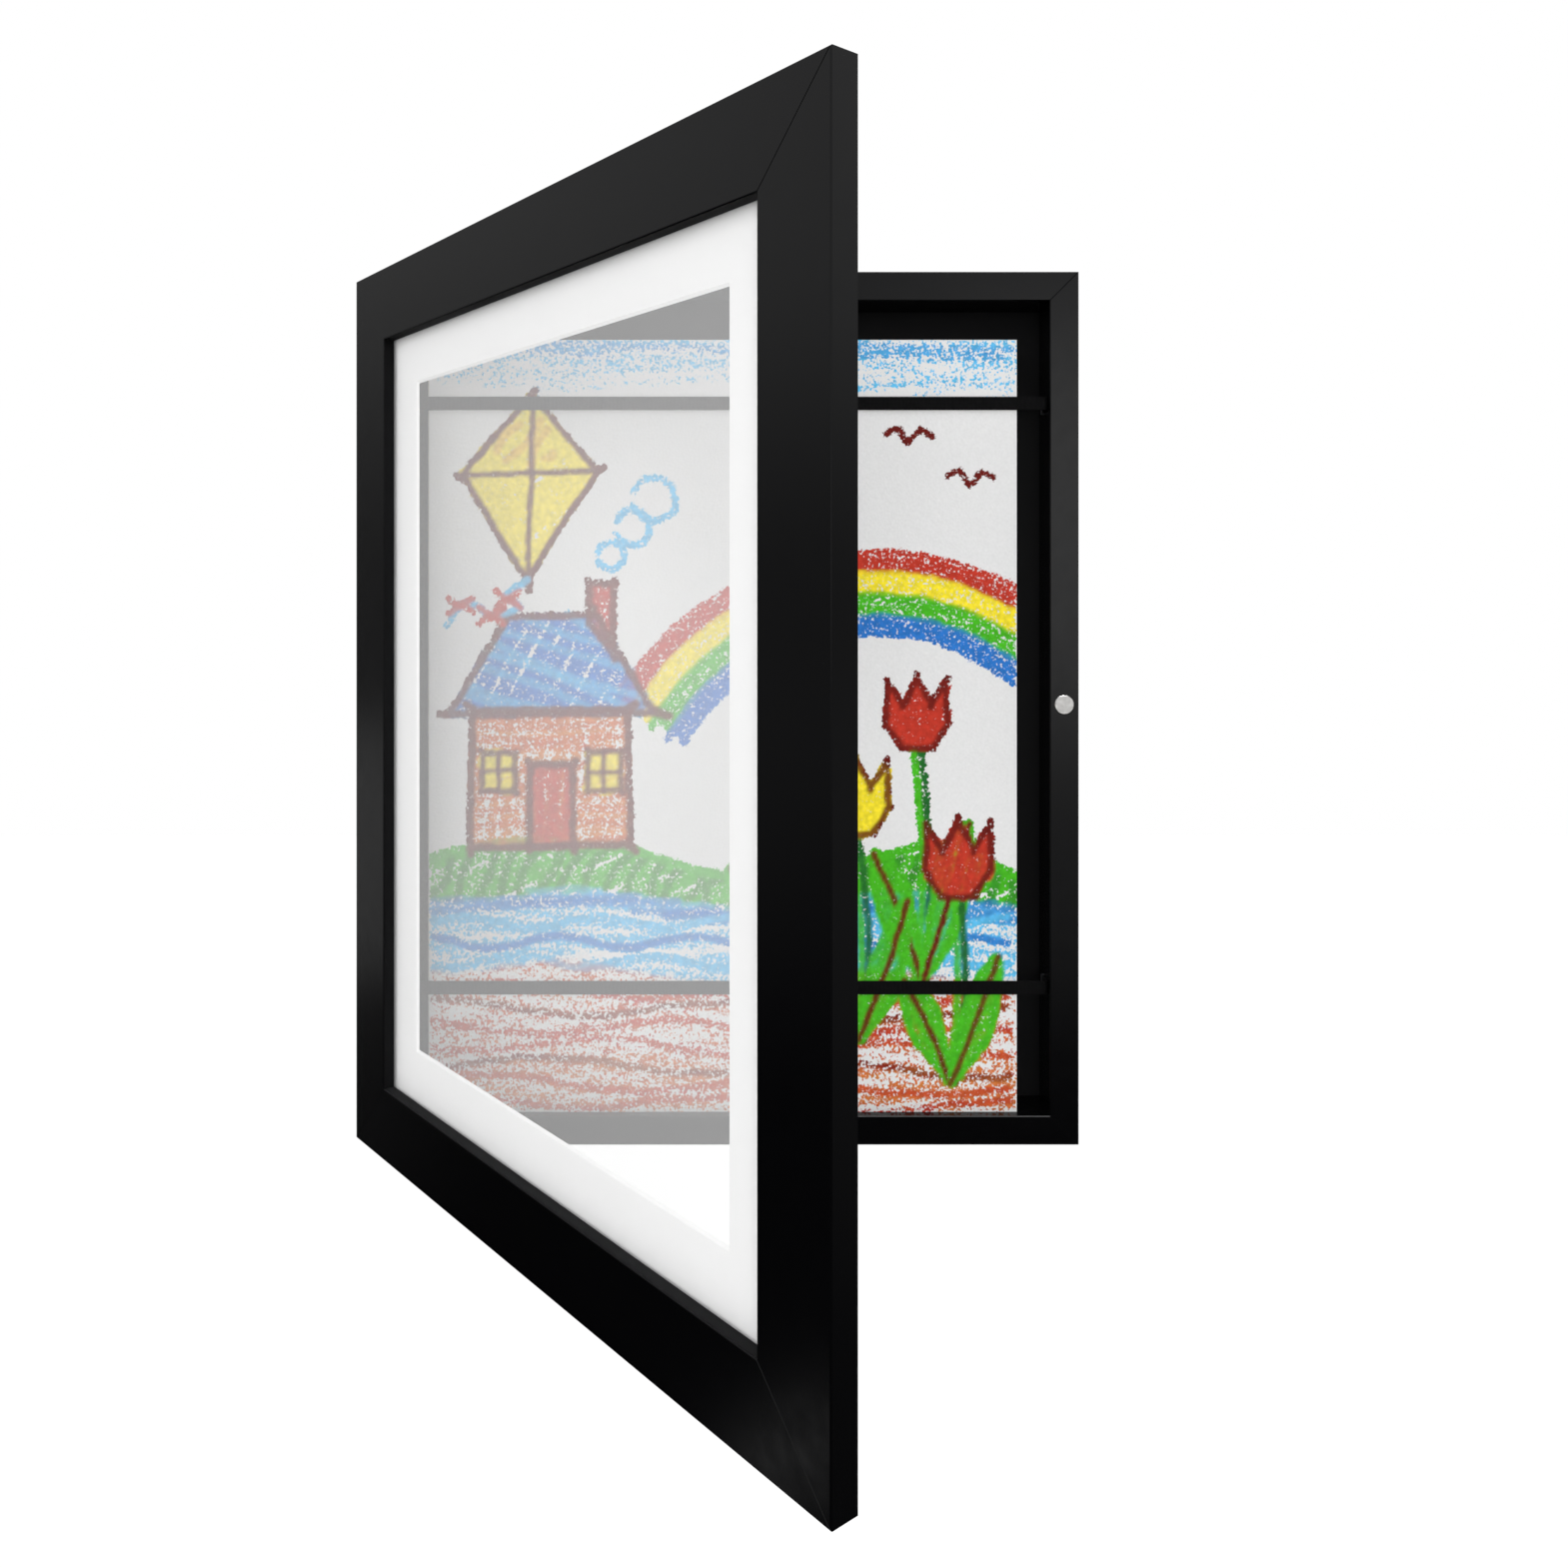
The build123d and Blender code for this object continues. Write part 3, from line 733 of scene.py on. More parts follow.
@dataclass
class DoorLights:
    """The glazing and the mat of the door, with the points that hold them."""

    glazing: str = "glazing_sheet"
    mat: str = "mat_board"
    points: str = "glazing_points"
    mat_border: float = 0.0242
    clearance: float = 0.00006
    bevel_facing: Point = (0.5, 0.9)

    def dress(self, zinc: Material) -> None:
        """Finishes the acrylic and the points; the clear sheet throws no shadow on what it covers.

        Args:
            zinc: The finish of the points.
        """
        # the acrylic's milky white veil is painted reflection
        dress_nodes(PaintedReflectionAcrylic().material(), self.glazing)
        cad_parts[self.glazing].visible_shadow = False
        dress_nodes(zinc, self.points)

    def build_mat(self) -> Piece:
        """Models the mat with its bevel-cut window, a hair behind the sheet that it lies against.

        Returns:
            The finished piece.
        """
        hinge = Vector(DOOR_HINGE)
        swing = Matrix.Translation(hinge) @ Matrix.Rotation(DOOR_TURN, 4, "Z") @ Matrix.Translation(-hinge)
        closed = [swing.inverted() @ vertex.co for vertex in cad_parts[self.mat].data.vertices]
        low = Vector(min(point[axis] for point in closed) for axis in range(3))
        high = Vector(max(point[axis] for point in closed) for axis in range(3))
        low.y += self.clearance
        size = high - low
        middle = (low + high) / 2
        deselect_all()
        front = (middle.x, low.y, middle.z)
        bpy.ops.mesh.primitive_plane_add(size=1, location=front, rotation=(math.pi / 2, 0, 0))
        board = stretch_new((size.x, size.z, 1))
        select_parts(board, "FACE", lambda face: True)
        bpy.ops.mesh.inset(thickness=self.mat_border)
        bpy.ops.mesh.extrude_region_move(TRANSFORM_OT_translate={"value": (0, size.y, 0)})
        window = (size.x - 2 * self.mat_border, size.z - 2 * self.mat_border)
        slope = [1 - 2 * size.y / side for side in window]
        bpy.ops.transform.resize(value=(slope[0], 1, slope[1]), center_override=middle)
        bpy.ops.mesh.delete(type="FACE")
        points = board.data.vertices
        far = ((0, size.x / 2 - MM), (2, size.z / 2 - MM))

        def outside(edge: Any) -> bool:
            """Says whether an edge lies along one of the mat's outer sides."""
            ends = [points[i].co - middle for i in edge.vertices]
            return any(all(abs(end[axis]) > reach for end in ends) for axis, reach in far)

        select_parts(board, "EDGE", outside)
        bpy.ops.mesh.extrude_edges_move(TRANSFORM_OT_translate={"value": (0, size.y, 0)})
        back = high.y - size.y / 4
        points = board.data.vertices
        select_parts(board, "EDGE", lambda edge: all(points[i].co.y > back for i in edge.vertices))
        bpy.ops.mesh.bridge_edge_loops()
        bpy.ops.object.mode_set(mode="OBJECT")
        for finish in (MatBoard(), MatBoard(name="mat_core", shade="#F6F6F6", colour="#FCFCFC")):
            board.data.materials.append(finish.material())
        for face in board.data.polygons:
            face.material_index = int(self.bevel_facing[0] < abs(face.normal.y) < self.bevel_facing[1])
        board.matrix_world = swing
        settle_in_place(board, "window_mat")
        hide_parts(self.mat)
        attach(board, "door")
        return board


@dataclass
class Ironmongery:
    """Hinges, screws, corner nails, staples, magnet and steel disc."""

    hinges: tuple[str, ...] = ("upper_hinge", "lower_hinge")
    hinge_parts: tuple[str, ...] = ("box_leaf", "door_leaf", "pin")
    staples: str = "elastic_band_staples"
    screws: tuple[str, ...] = ("hinge_box_screws", "hinge_door_screws")
    nails: tuple[str, ...] = ("box_corner_nails", "door_corner_nails")
    disc: str = "strike_disc"
    magnet: str = "box_magnet"

    def dress(self, zinc: Material) -> None:
        """Finishes the small metal pieces.

        Args:
            zinc: The finish of the plated ones.
        """
        leaves = [f"{hinge}_{part}" for hinge in self.hinges for part in self.hinge_parts]
        dress_nodes(BlackenedSteel().material(), *leaves, self.staples)
        dress_nodes(zinc, *self.screws, *self.nails, self.disc)
        dress_nodes(NickelPlate().material(), self.magnet)


# Soft pieces


@dataclass
class SoftPiece:
    """A piece that is modelled here, in the space that its CAD node fills."""

    node: str
    low: Vector = field(init=False)
    high: Vector = field(init=False)
    size: Vector = field(init=False)
    middle: Vector = field(init=False)

    def __post_init__(self) -> None:
        """Reads that space."""
        self.low, self.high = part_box(self.node)
        self.size = self.high - self.low
        self.middle = (self.low + self.high) / 2


@dataclass
class ElasticBand(SoftPiece):
    """A flat woven elastic that crosses the drawings and turns back along both side walls."""

    ribs: int = 9
    rib_depth: float = 0.00012
    thickness: float = 0.0009
    bend_radius: float = 0.0012
    bend_steps: int = 6
    smooth_below: float = math.radians(50)

    def section(self) -> Piece:
        """Models the band's ribbed cross-section at the back end of its left tail.

        Returns:
            A flat mesh whose grid cells run across the band's width.
        """
        deselect_all()
        cells = 2 * self.ribs
        end = Vector((self.low.x + self.thickness / 2, self.high.y, self.middle.z))
        place = {"location": end, "rotation": (0, math.pi / 2, 0)}
        bpy.ops.mesh.primitive_grid_add(x_subdivisions=cells, y_subdivisions=1, size=1, **place)
        strap = stretch_new((self.size.z, self.thickness, 1))
        # the grid stands in a plane of one x, so it is laid into the section's plane of one y
        for vertex in strap.data.vertices:
            offset = vertex.co - end
            vertex.co = end + Vector((offset.y, 0, offset.z))
        step = self.size.z / cells
        select_parts(strap, "VERT", lambda v: round((v.co.z - self.low.z) / step) % 2 == 0)
        shrink = 1 - 2 * self.rib_depth / self.thickness
        bpy.ops.transform.resize(value=(shrink, 1, 1), center_override=end)
        bpy.ops.object.mode_set(mode="OBJECT")
        return strap

    def build(self, material: Material) -> Piece:
        """Models the whole strap: forward along the left wall, across, and back along the right wall.

        Args:
            material: The woven elastic.

        Returns:
            The finished piece.
        """
        strap = self.section()
        select_parts(strap, "FACE", lambda face: True)
        inset = self.thickness / 2 + self.bend_radius
        left, front, right = self.low.x + inset, self.low.y + inset, self.high.x - inset
        bpy.ops.mesh.extrude_region_move(TRANSFORM_OT_translate={"value": (0, front - self.high.y, 0)})
        for corner, way in ((left, (right - left, 0, 0)), (right, (0, self.high.y - front, 0))):
            axis = {"center": (corner, front, self.middle.z), "axis": (0, 0, 1)}
            bpy.ops.mesh.spin(steps=self.bend_steps, angle=-math.pi / 2, dupli=False, **axis)
            bpy.ops.mesh.extrude_region_move(TRANSFORM_OT_translate={"value": way})
        settle_in_place(strap, f"woven_{self.node}")
        bpy.ops.object.shade_smooth_by_angle(angle=self.smooth_below)
        strap.data.materials.append(material)
        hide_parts(self.node)
        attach(strap, "box")
        return strap


@dataclass
class WaxCoat:
    """The wax on the sheet: a colour and an amount for each point of a fine grid."""

    width_mm: float
    height_mm: float
    columns: int
    rows: int
    edge_mm: float = 1.1
    colours: list[Triple] = field(init=False)
    amounts: list[float] = field(init=False)

    def __post_init__(self) -> None:
        """Starts with bare paper."""
        count = (self.columns + 1) * (self.rows + 1)
        self.colours = [linear(CrayonOnPaper.colour)[:3]] * count
        self.amounts = [0.0] * count

    def rub(self, wax: Wax, path: list[Point], widths: list[float], press: float) -> None:
        """Lays one stroke of wax over what is there.

        Args:
            wax: The crayon.
            path: Points in millimetres from the sheet's lower left corner.
            widths: The stroke's width at each point in millimetres.
            press: Amount of wax in the middle of the stroke, from 0 to 1.
        """
        step_u, step_v = self.width_mm / self.columns, self.height_mm / self.rows
        taken: dict[int, float] = {}
        for (u, v), (end_u, end_v), width in zip(path, path[1:], widths):
            run_u, run_v = end_u - u, end_v - v
            reach = (width + self.edge_mm) / 2
            left = max(0, math.ceil((min(u, end_u) - reach) / step_u))
            right = min(self.columns, math.floor((max(u, end_u) + reach) / step_u))
            low = max(0, math.ceil((min(v, end_v) - reach) / step_v))
            high = min(self.rows, math.floor((max(v, end_v) + reach) / step_v))
            square = max(run_u**2 + run_v**2, 1e-9)
            for row in range(low, high + 1):
                for column in range(left, right + 1):
                    off_u, off_v = column * step_u - u, row * step_v - v
                    along = min(1.0, max(0.0, (off_u * run_u + off_v * run_v) / square))
                    away = math.hypot(off_u - along * run_u, off_v - along * run_v)
                    share = min(1.0, (width / 2 - away) / self.edge_mm + 0.5)
                    index = row * (self.columns + 1) + column
                    if share > taken.get(index, 0.0):
                        taken[index] = share
        colour = linear(wax.value)
        for index, share in taken.items():
            new, old = press * share, self.amounts[index]
            weight = new / (new + old * (1 - new))
            pairs = zip(self.colours[index], colour)
            self.colours[index] = tuple(below + weight * (above - below) for below, above in pairs)
            self.amounts[index] = 1 - (1 - old) * (1 - new)


@dataclass
class DrawingSheet(SoftPiece):
    """The sheet on show: thin paper, held flat by the bands and lifting a hair between them."""

    node: str = "front_drawing"
    bands: tuple[str, ...] = ("upper_elastic_band", "lower_elastic_band")
    lift: float = 0.00018
    calm: float = 0.016
    wave_across: float = 2.3 * math.pi
    wave_up: float = 26.0
    wave_start: float = 0.8
    across: int = 268
    up: int = 351
    smooth_below: float = math.radians(40)
    band_heights: list[float] = field(init=False)

    def __post_init__(self) -> None:
        """Reads the space that the CAD sheet fills and where the bands press on it."""
        super().__post_init__()
        self.band_heights = [(low.z + high.z) / 2 for low, high in map(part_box, self.bands)]

    def bare_coat(self) -> WaxCoat:
        """Gives an empty coat of wax that fits the sheet's mesh."""
        return WaxCoat(self.size.x / MM, self.size.z / MM, self.across, self.up)

    def rise(self, x: float, z: float) -> float:
        """How far the paper stands forward of its flat place.

        Args:
            x: Place across the frame.
            z: Place up the frame.

        Returns:
            The distance in metres, nought under the bands.
        """
        free = math.prod(1 - math.exp(-(((z - height) / self.calm) ** 2)) for height in self.band_heights)
        share = (x - self.low.x) / self.size.x
        phase = self.wave_across * share + self.wave_up * (z - self.low.z) + self.wave_start
        return free * self.lift * (0.5 + 0.5 * math.sin(phase)) * math.sin(math.pi * share)

    def build(self, material: Material, coat: WaxCoat) -> Piece:
        """Models the sheet: a fine front that carries the wax, a rim and a flat back.

        Args:
            material: Crayon on paper.
            coat: The wax of the finished drawing.

        Returns:
            The finished piece.
        """
        deselect_all()
        grid = {"x_subdivisions": self.across, "y_subdivisions": self.up, "size": 1}
        front = (self.middle.x, self.low.y, self.middle.z)
        bpy.ops.mesh.primitive_grid_add(location=front, rotation=(math.pi / 2, 0, 0), **grid)
        paper = stretch_new((self.size.x, self.size.z, 1))
        for vertex in paper.data.vertices:
            vertex.co.y = self.low.y - self.rise(vertex.co.x, vertex.co.z)
        select_parts(paper, "FACE", lambda face: True)
        bpy.ops.mesh.region_to_loop()
        bpy.ops.mesh.extrude_edges_move(TRANSFORM_OT_translate={"value": (0, self.size.y, 0)})
        back = (self.middle.x, self.high.y, self.middle.z)
        bpy.ops.transform.resize(value=(1, 0, 1), center_override=back)
        bpy.ops.mesh.edge_face_add()
        settle_in_place(paper, "drawing_sheet")
        self.lay_wax(paper, coat)
        bpy.ops.object.shade_smooth_by_angle(angle=self.smooth_below)
        paper.data.materials.append(material)
        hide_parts(self.node)
        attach(paper, "box")
        return paper

    def lay_wax(self, paper: Piece, coat: WaxCoat) -> None:
        """Writes the wax into the sheet's mesh; the rim's back edge and the back stay bare.

        Args:
            paper: The sheet.
            coat: The wax of the finished drawing.
        """
        layer = paper.data.attributes.new("wax", "FLOAT_COLOR", "POINT")
        values: list[float] = []
        for vertex in paper.data.vertices:
            column = round((vertex.co.x - self.low.x) / self.size.x * self.across)
            row = round((vertex.co.z - self.low.z) / self.size.z * self.up)
            index = row * (self.across + 1) + column
            values += (*coat.colours[index], coat.amounts[index] if vertex.co.y < self.middle.y else 0.0)
        layer.data.foreach_set("color", values)


@dataclass
class StoredSheets(SoftPiece):
    """The stack of kept drawings between the sheet on show and the back panel."""

    node: str = "stored_drawings"
    leaves: int = 40
    slip: float = 0.0006
    corner: float = 0.00008
    broad_side: float = 0.9
    seed: int = 7

    def build(self, material: Material) -> Piece:
        """Models one leaf of a few sheets and copies it into a slightly uneven stack.

        Args:
            material: The paper seen on edge.

        Returns:
            The finished piece.
        """
        chance = random.Random(self.seed)
        pitch = self.size.y / self.leaves
        deselect_all()
        bpy.ops.mesh.primitive_cube_add(size=1)
        leaf = stretch_new((self.size.x - 2 * self.slip, pitch, self.size.z - self.slip))
        select_parts(leaf, "FACE", lambda face: abs(face.normal.y) > self.broad_side)
        bpy.ops.mesh.bevel(offset=self.corner, segments=1)
        bpy.ops.object.mode_set(mode="OBJECT")
        copies = []
        for index in range(self.leaves):
            copy = leaf.copy()
            copy.data = leaf.data.copy()
            bpy.context.collection.objects.link(copy)
            drop = self.slip * chance.random()
            side = self.slip * chance.uniform(-1, 1)
            depth = self.low.y + (index + 0.5) * pitch
            copy.location = (self.middle.x + side, depth, self.middle.z - drop / 2)
            copies.append(copy)
        deselect_all()
        bpy.data.objects.remove(leaf)
        for copy in copies:
            copy.select_set(True)
        bpy.context.view_layer.objects.active = copies[0]
        bpy.ops.object.join()
        stack = bpy.context.object
        settle_in_place(stack, "stored_sheets")
        stack.data.materials.append(material)
        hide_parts(self.node)
        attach(stack, "box")
        return stack


# The drawing


@dataclass
class CrayonDrawing:
    """A plain drawing in wax crayon: a cottage, a kite, an arc of colours, tulips, a brook and a field."""

    coat: WaxCoat
    seed: int = 23
    step_mm: float = 2.4
    corner: float = 0.04
    drift_kept: float = 0.7
    width_spread: Point = (0.84, 1.14)
    press_spread: Point = (0.9, 1.08)
    fill_width: float = 3.4
    fill_shake: float = 0.2
    shortest_fill: float = 1.5
    fill_ends: Point = (0.0, 1.4)
    fill_slope: Point = (-0.5, 0.5)
    fill_bow: Point = (-0.4, 0.4)
    gap_spread: Point = (0.8, 1.2)
    arc_step: float = 12.0

    def __post_init__(self) -> None:
        """Starts the hand's own unevenness."""
        self.chance = random.Random(self.seed)

    def between(self, a: float, b: float, c: float, d: float, t: float) -> float:
        """Gives a rounded path's value at a share t of the way from b to c, with a and d next to them."""
        bend = (2 * a - 5 * b + 4 * c - d) * t**2
        return 0.5 * (2 * b + (c - a) * t + bend + (3 * b - a - 3 * c + d) * t**3)

    def smooth(self, points: list[Point]) -> list[Point]:
        """Runs an even, rounded path through some points.

        Args:
            points: The points in order.

        Returns:
            Points about one step apart.
        """
        path: list[Point] = []
        for index in range(len(points) - 1):
            a, b = points[max(index - 1, 0)], points[index]
            c, d = points[index + 1], points[min(index + 2, len(points) - 1)]
            pieces = max(2, round(math.dist(b, c) / self.step_mm))
            for part in range(pieces):
                path.append(tuple(self.between(*ends, part / pieces) for ends in zip(a, b, c, d)))
        return path + [points[-1]]

    def line(
        self,
        wax: Wax,
        points: list[Point],
        width: float = 3.2,
        press: float = 0.92,
        shake: float = 0.35,
        rounded: bool = True,
    ) -> None:
        """Draws one stroke by hand.

        Args:
            wax: The crayon.
            points: The stroke's points in millimetres.
            width: Its mean width in millimetres.
            press: Amount of wax, from 0 to 1.
            shake: How unsteady the hand is, in millimetres.
            rounded: False for a stroke with sharp corners.
        """
        if not rounded:
            corners, points = points, []
            for start, end in zip(corners, corners[1:]):
                near_end = tuple((1 - self.corner) * e + self.corner * s for s, e in zip(start, end))
                points += [start, near_end]
            points.append(corners[-1])
        drift_u, drift_v, path, widths = 0.0, 0.0, [], []
        for u, v in self.smooth(points):
            drift_u = self.drift_kept * drift_u + shake * self.chance.uniform(-1, 1)
            drift_v = self.drift_kept * drift_v + shake * self.chance.uniform(-1, 1)
            path.append((u + drift_u, v + drift_v))
            widths.append(width * self.chance.uniform(*self.width_spread))
        self.coat.rub(wax, path, widths, min(1.0, press * self.chance.uniform(*self.press_spread)))

    def outline(self, wax: Wax, points: list[Point], width: float = 3.2) -> None:
        """Draws a closed outline with sharp corners."""
        self.line(wax, [*points, points[0]], width, rounded=False)

    def fill(
        self, wax: Wax, points: list[Point], angle: float, gap: float = 3.0, press: float = 0.7
    ) -> None:
        """Rubs colour into a shape with strokes to and fro.

        Args:
            wax: The crayon.
            points: The shape's corners in millimetres.
            angle: Direction of the strokes in degrees.
            gap: Distance between strokes in millimetres.
            press: Amount of wax, from 0 to 1.
        """
        cos, sin = math.cos(math.radians(angle)), math.sin(math.radians(angle))
        turned = [(u * cos + v * sin, v * cos - u * sin) for u, v in points]
        height = min(v for _, v in turned) + gap / 2
        forth = True
        while height < max(v for _, v in turned):
            cuts = sorted(
                a[0] + (height - a[1]) / (b[1] - a[1]) * (b[0] - a[0])
                for a, b in zip(turned, turned[1:] + turned[:1])
                if (a[1] > height) != (b[1] > height)
            )
            for start, end in zip(cuts[::2], cuts[1::2]):
                if end - start < self.shortest_fill:
                    continue
                left = start + self.chance.uniform(*self.fill_ends)
                right = end - self.chance.uniform(*self.fill_ends)
                rise = self.chance.uniform(*self.fill_slope) * gap
                bow = self.chance.uniform(*self.fill_bow) * gap
                middle = ((left + right) / 2, height + bow)
                row = [(left, height - rise / 2), middle, (right, height + rise / 2)]
                turned_back = [(u * cos - v * sin, u * sin + v * cos) for u, v in row]
                stroke = turned_back if forth else turned_back[::-1]
                self.line(wax, stroke, self.fill_width, press, self.fill_shake)
            height += gap * self.chance.uniform(*self.gap_spread)
            forth = not forth

    def ring(self, centre: Point, radius: float, start: float, end: float) -> list[Point]:
        """Points along an arc.

        Args:
            centre: The arc's centre in millimetres.
            radius: Its radius in millimetres.
            start: First angle in degrees.
            end: Last angle in degrees.

        Returns:
            The points.
        """
        count = max(4, round(abs(end - start) / self.arc_step))
        angles = [math.radians(start + (end - start) * index / count) for index in range(count + 1)]
        return [(centre[0] + radius * math.cos(a), centre[1] + radius * math.sin(a)) for a in angles]

    def sky(self) -> None:
        """Rubs a strip of sky along the top of the sheet."""
        self.fill(Wax.SKY, [(1, 306), (60, 300), (130, 304), (245, 298), (245, 323), (1, 323)], 4, 3.2, 0.3)
        self.fill(Wax.SKY, [(1, 313), (245, 310), (245, 323), (1, 323)], -5, 4.6, 0.25)
        self.fill(Wax.COBALT, [(1, 317), (245, 315), (245, 323), (1, 323)], -2, 4.0, 0.22)

    def land(self) -> None:
        """Draws the green rise, the brook below it and the ploughed field in front."""
        crest = [(1, 106), (34, 113), (80, 110), (128, 98), (176, 104), (212, 111), (245, 99)]
        bank = [(245, 86), (190, 91), (130, 84), (70, 93), (1, 88)]
        self.fill(Wax.LEAF, crest + bank, 22, 3.0, 0.72)
        self.fill(Wax.MOSS, crest + bank, 64, 8.0, 0.45)
        self.line(Wax.LEAF, crest, 3.8)
        near = [(245, 55), (180, 60), (120, 53), (60, 64), (1, 58)]
        water = bank[::-1] + near
        self.fill(Wax.SKY, water, 3, 3.2, 0.38)
        self.fill(Wax.SKY, water, -9, 6.0, 0.34)
        self.fill(Wax.COBALT, bank[::-1] + [(245, 79), (190, 84), (130, 77), (70, 86), (1, 81)], 2, 3.0, 0.5)
        for index in range(3):
            wave = [(u, 79 - 8 * index + 2.4 * math.sin(u / 9 + 1.9 * index)) for u in range(2, 245, 6)]
            self.line(Wax.COBALT if index == 1 else Wax.SKY, wave, 3.2, 0.8)
        soil = [(1, 57), (60, 63), (120, 52), (180, 59), (245, 54), (245, 1), (1, 1)]
        self.fill(Wax.BRICK, soil, 7, 3.6, 0.18)
        self.fill(Wax.SAND, soil, -12, 4.4, 0.22)
        self.fill(Wax.BRICK, soil, 21, 6.5, 0.14)
        self.fill(Wax.SAND, [(1, 18), (90, 26), (160, 16), (245, 22), (245, 1), (1, 1)], 3, 3.4, 0.24)
        for index in range(7):
            height = 52 - 7.8 * index
            places = range(2, 246, 12)
            furrow = [(u, height + 3.0 * math.sin(u / 19 + 1.3 * index) - 0.015 * u) for u in places]
            self.line(Wax.BARK if index % 3 == 1 else Wax.BRICK, furrow, 3.0, 0.48, shake=0.5)

    def arc_of_colours(self) -> None:
        """Draws four bands of colour across the sky."""
        for wax, radius in ((Wax.BRICK, 122), (Wax.LEMON, 113), (Wax.LEAF, 104), (Wax.COBALT, 95)):
            for offset in (-3.0, 0.2, 3.4):
                reach = radius + offset
                first = math.degrees(math.acos(min(1.0, 58 / reach)))
                last = 149 + self.chance.uniform(-2, 2)
                self.line(wax, self.ring((186, 108), reach, first, last), 3.8, 0.75)

    def cottage(self) -> None:
        """Draws a cottage with a blue roof, a door and two windows."""
        walls = [(17, 110), (84, 112), (83, 168), (18, 167)]
        roof = [(8, 166), (33, 207), (69, 208), (94, 167)]
        door = [(42, 111), (60, 111), (60, 145), (42, 145)]
        chimney = [(67, 204), (77, 192), (77, 221), (67, 221)]
        self.fill(Wax.SAND, walls, 84, 3.0, 0.55)
        self.fill(Wax.BRICK, walls, 3, 6.0, 0.3)
        self.fill(Wax.COBALT, roof, 62, 2.9, 0.75)
        self.fill(Wax.SKY, roof, -20, 6.5, 0.5)
        self.fill(Wax.BRICK, door, 88, 2.8, 0.8)
        self.fill(Wax.BRICK, chimney, 30, 3.0)
        for shape in (walls, roof, door, chimney):
            self.outline(Wax.BARK, shape)
        for left in (22, 66):
            window = [(left, 134), (left + 14, 134), (left + 14, 150), (left, 150)]
            self.fill(Wax.LEMON, window, 10, 2.6, 0.9)
            self.outline(Wax.BARK, window, 2.6)
            self.line(Wax.BARK, [(left + 7, 134), (left + 6.8, 150)], 2.2)
            self.line(Wax.BARK, [(left, 142), (left + 14, 142.4)], 2.2)
        for turn in range(3):
            puff = self.ring((76 + 9 * turn, 232 + 12 * turn), 5.5 + 1.8 * turn, 200, 520)
            self.line(Wax.SKY, puff, 3.0, 0.8)

    def kite(self) -> None:
        """Draws a yellow kite with a knotted tail."""
        sail = [(43, 300), (70, 268), (41, 222), (14, 266)]
        self.fill(Wax.LEMON, sail, 35, 2.7, 0.85)
        self.fill(Wax.LEMON, sail, -48, 4.2, 0.7)
        self.fill(Wax.SAND, [(30, 286), (50, 291), (52, 272), (28, 270)], 55, 6.0, 0.4)
        self.outline(Wax.BARK, sail, 2.8)
        self.line(Wax.BARK, [(43, 299), (41.5, 223)], 2.4)
        self.line(Wax.BARK, [(15, 266), (69, 268)], 2.4)
        self.line(Wax.SKY, [(41, 222), (32, 216), (38, 211), (27, 207), (15, 213), (7, 203)], 3.0)
        for u, v in ((33, 214), (26, 207.4), (13, 211.6)):
            for rise in (3.4, -3.4):
                self.line(Wax.BRICK, [(u - 5, v + rise), (u, v), (u + 5, v + rise)], 3.0)

    def tulip(self, foot: Point, head: Point, size: float, wax: Wax) -> None:
        """Draws one tulip.

        Args:
            foot: Where its stem leaves the ground.
            head: The foot of its flower.
            size: Half the flower's width in millimetres.
            wax: The flower's crayon.
        """
        rise = head[1] - foot[1]
        bend = (foot[0] + head[0]) / 2 + 3
        for shift in (-1.5, 1.5):
            stem = [(foot[0], foot[1]), (bend, foot[1] + rise / 2), (head[0], head[1])]
            self.line(Wax.LEAF if shift < 0 else Wax.MOSS, [(u + shift, v) for u, v in stem], 3.0)
        for side in (-1, 1):
            tip = (foot[0] + side * 20, foot[1] + rise * (0.68 if side > 0 else 0.55))
            middle = (foot[0] + side * 16, foot[1] + rise * 0.26)
            inner = (foot[0] + side * 6, foot[1] + rise * 0.4)
            blade = self.smooth([foot, middle, tip, inner, foot])[:-1]
            self.fill(Wax.LEAF, blade, 70 * side, 2.5, 0.85)
            self.fill(Wax.LEAF, blade, 25 * side, 4.2, 0.6)
            self.line(Wax.LEAF, [foot, middle, tip, inner, foot], 3.0)
            self.line(Wax.BARK, [foot, (foot[0] + side * 10, foot[1] + rise * 0.31), tip], 2.4)
        left = [(-0.5, 0), (-1, 0.8), (-0.92, 2.1), (-0.45, 1.4), (0, 2.3)]
        right = [(0.45, 1.4), (0.95, 2.15), (1, 0.8), (0.5, 0)]
        cup = [(head[0] + across * size, head[1] + up * size) for across, up in left + right]
        self.fill(wax, cup, 78, 2.5, 0.9)
        self.fill(wax, cup, 20, 3.8, 0.7)
        self.outline(Wax.BARK, cup, 2.8)

    def birds(self) -> None:
        """Draws two far birds."""
        for u, v in ((200, 279), (226, 262)):
            wings = [(u - 9, v + 4), (u - 4, v + 6), (u, v), (u + 5, v + 6), (u + 10, v + 3)]
            self.line(Wax.BARK, wings, 2.6)

    def draw(self) -> None:
        """Draws everything, from the back forward."""
        self.sky()
        self.land()
        self.arc_of_colours()
        self.cottage()
        self.kite()
        for foot, head, size, wax in (
            ((146, 56), (148, 140), 13, Wax.LEMON),
            ((206, 54), (204, 152), 13, Wax.BRICK),
            ((180, 30), (178, 116), 14, Wax.LEMON),
            ((218, 12), (221, 90), 14, Wax.BRICK),
        ):
            self.tulip(foot, head, size, wax)
        self.birds()
        log.info("crayon drawing: done")


# Studio


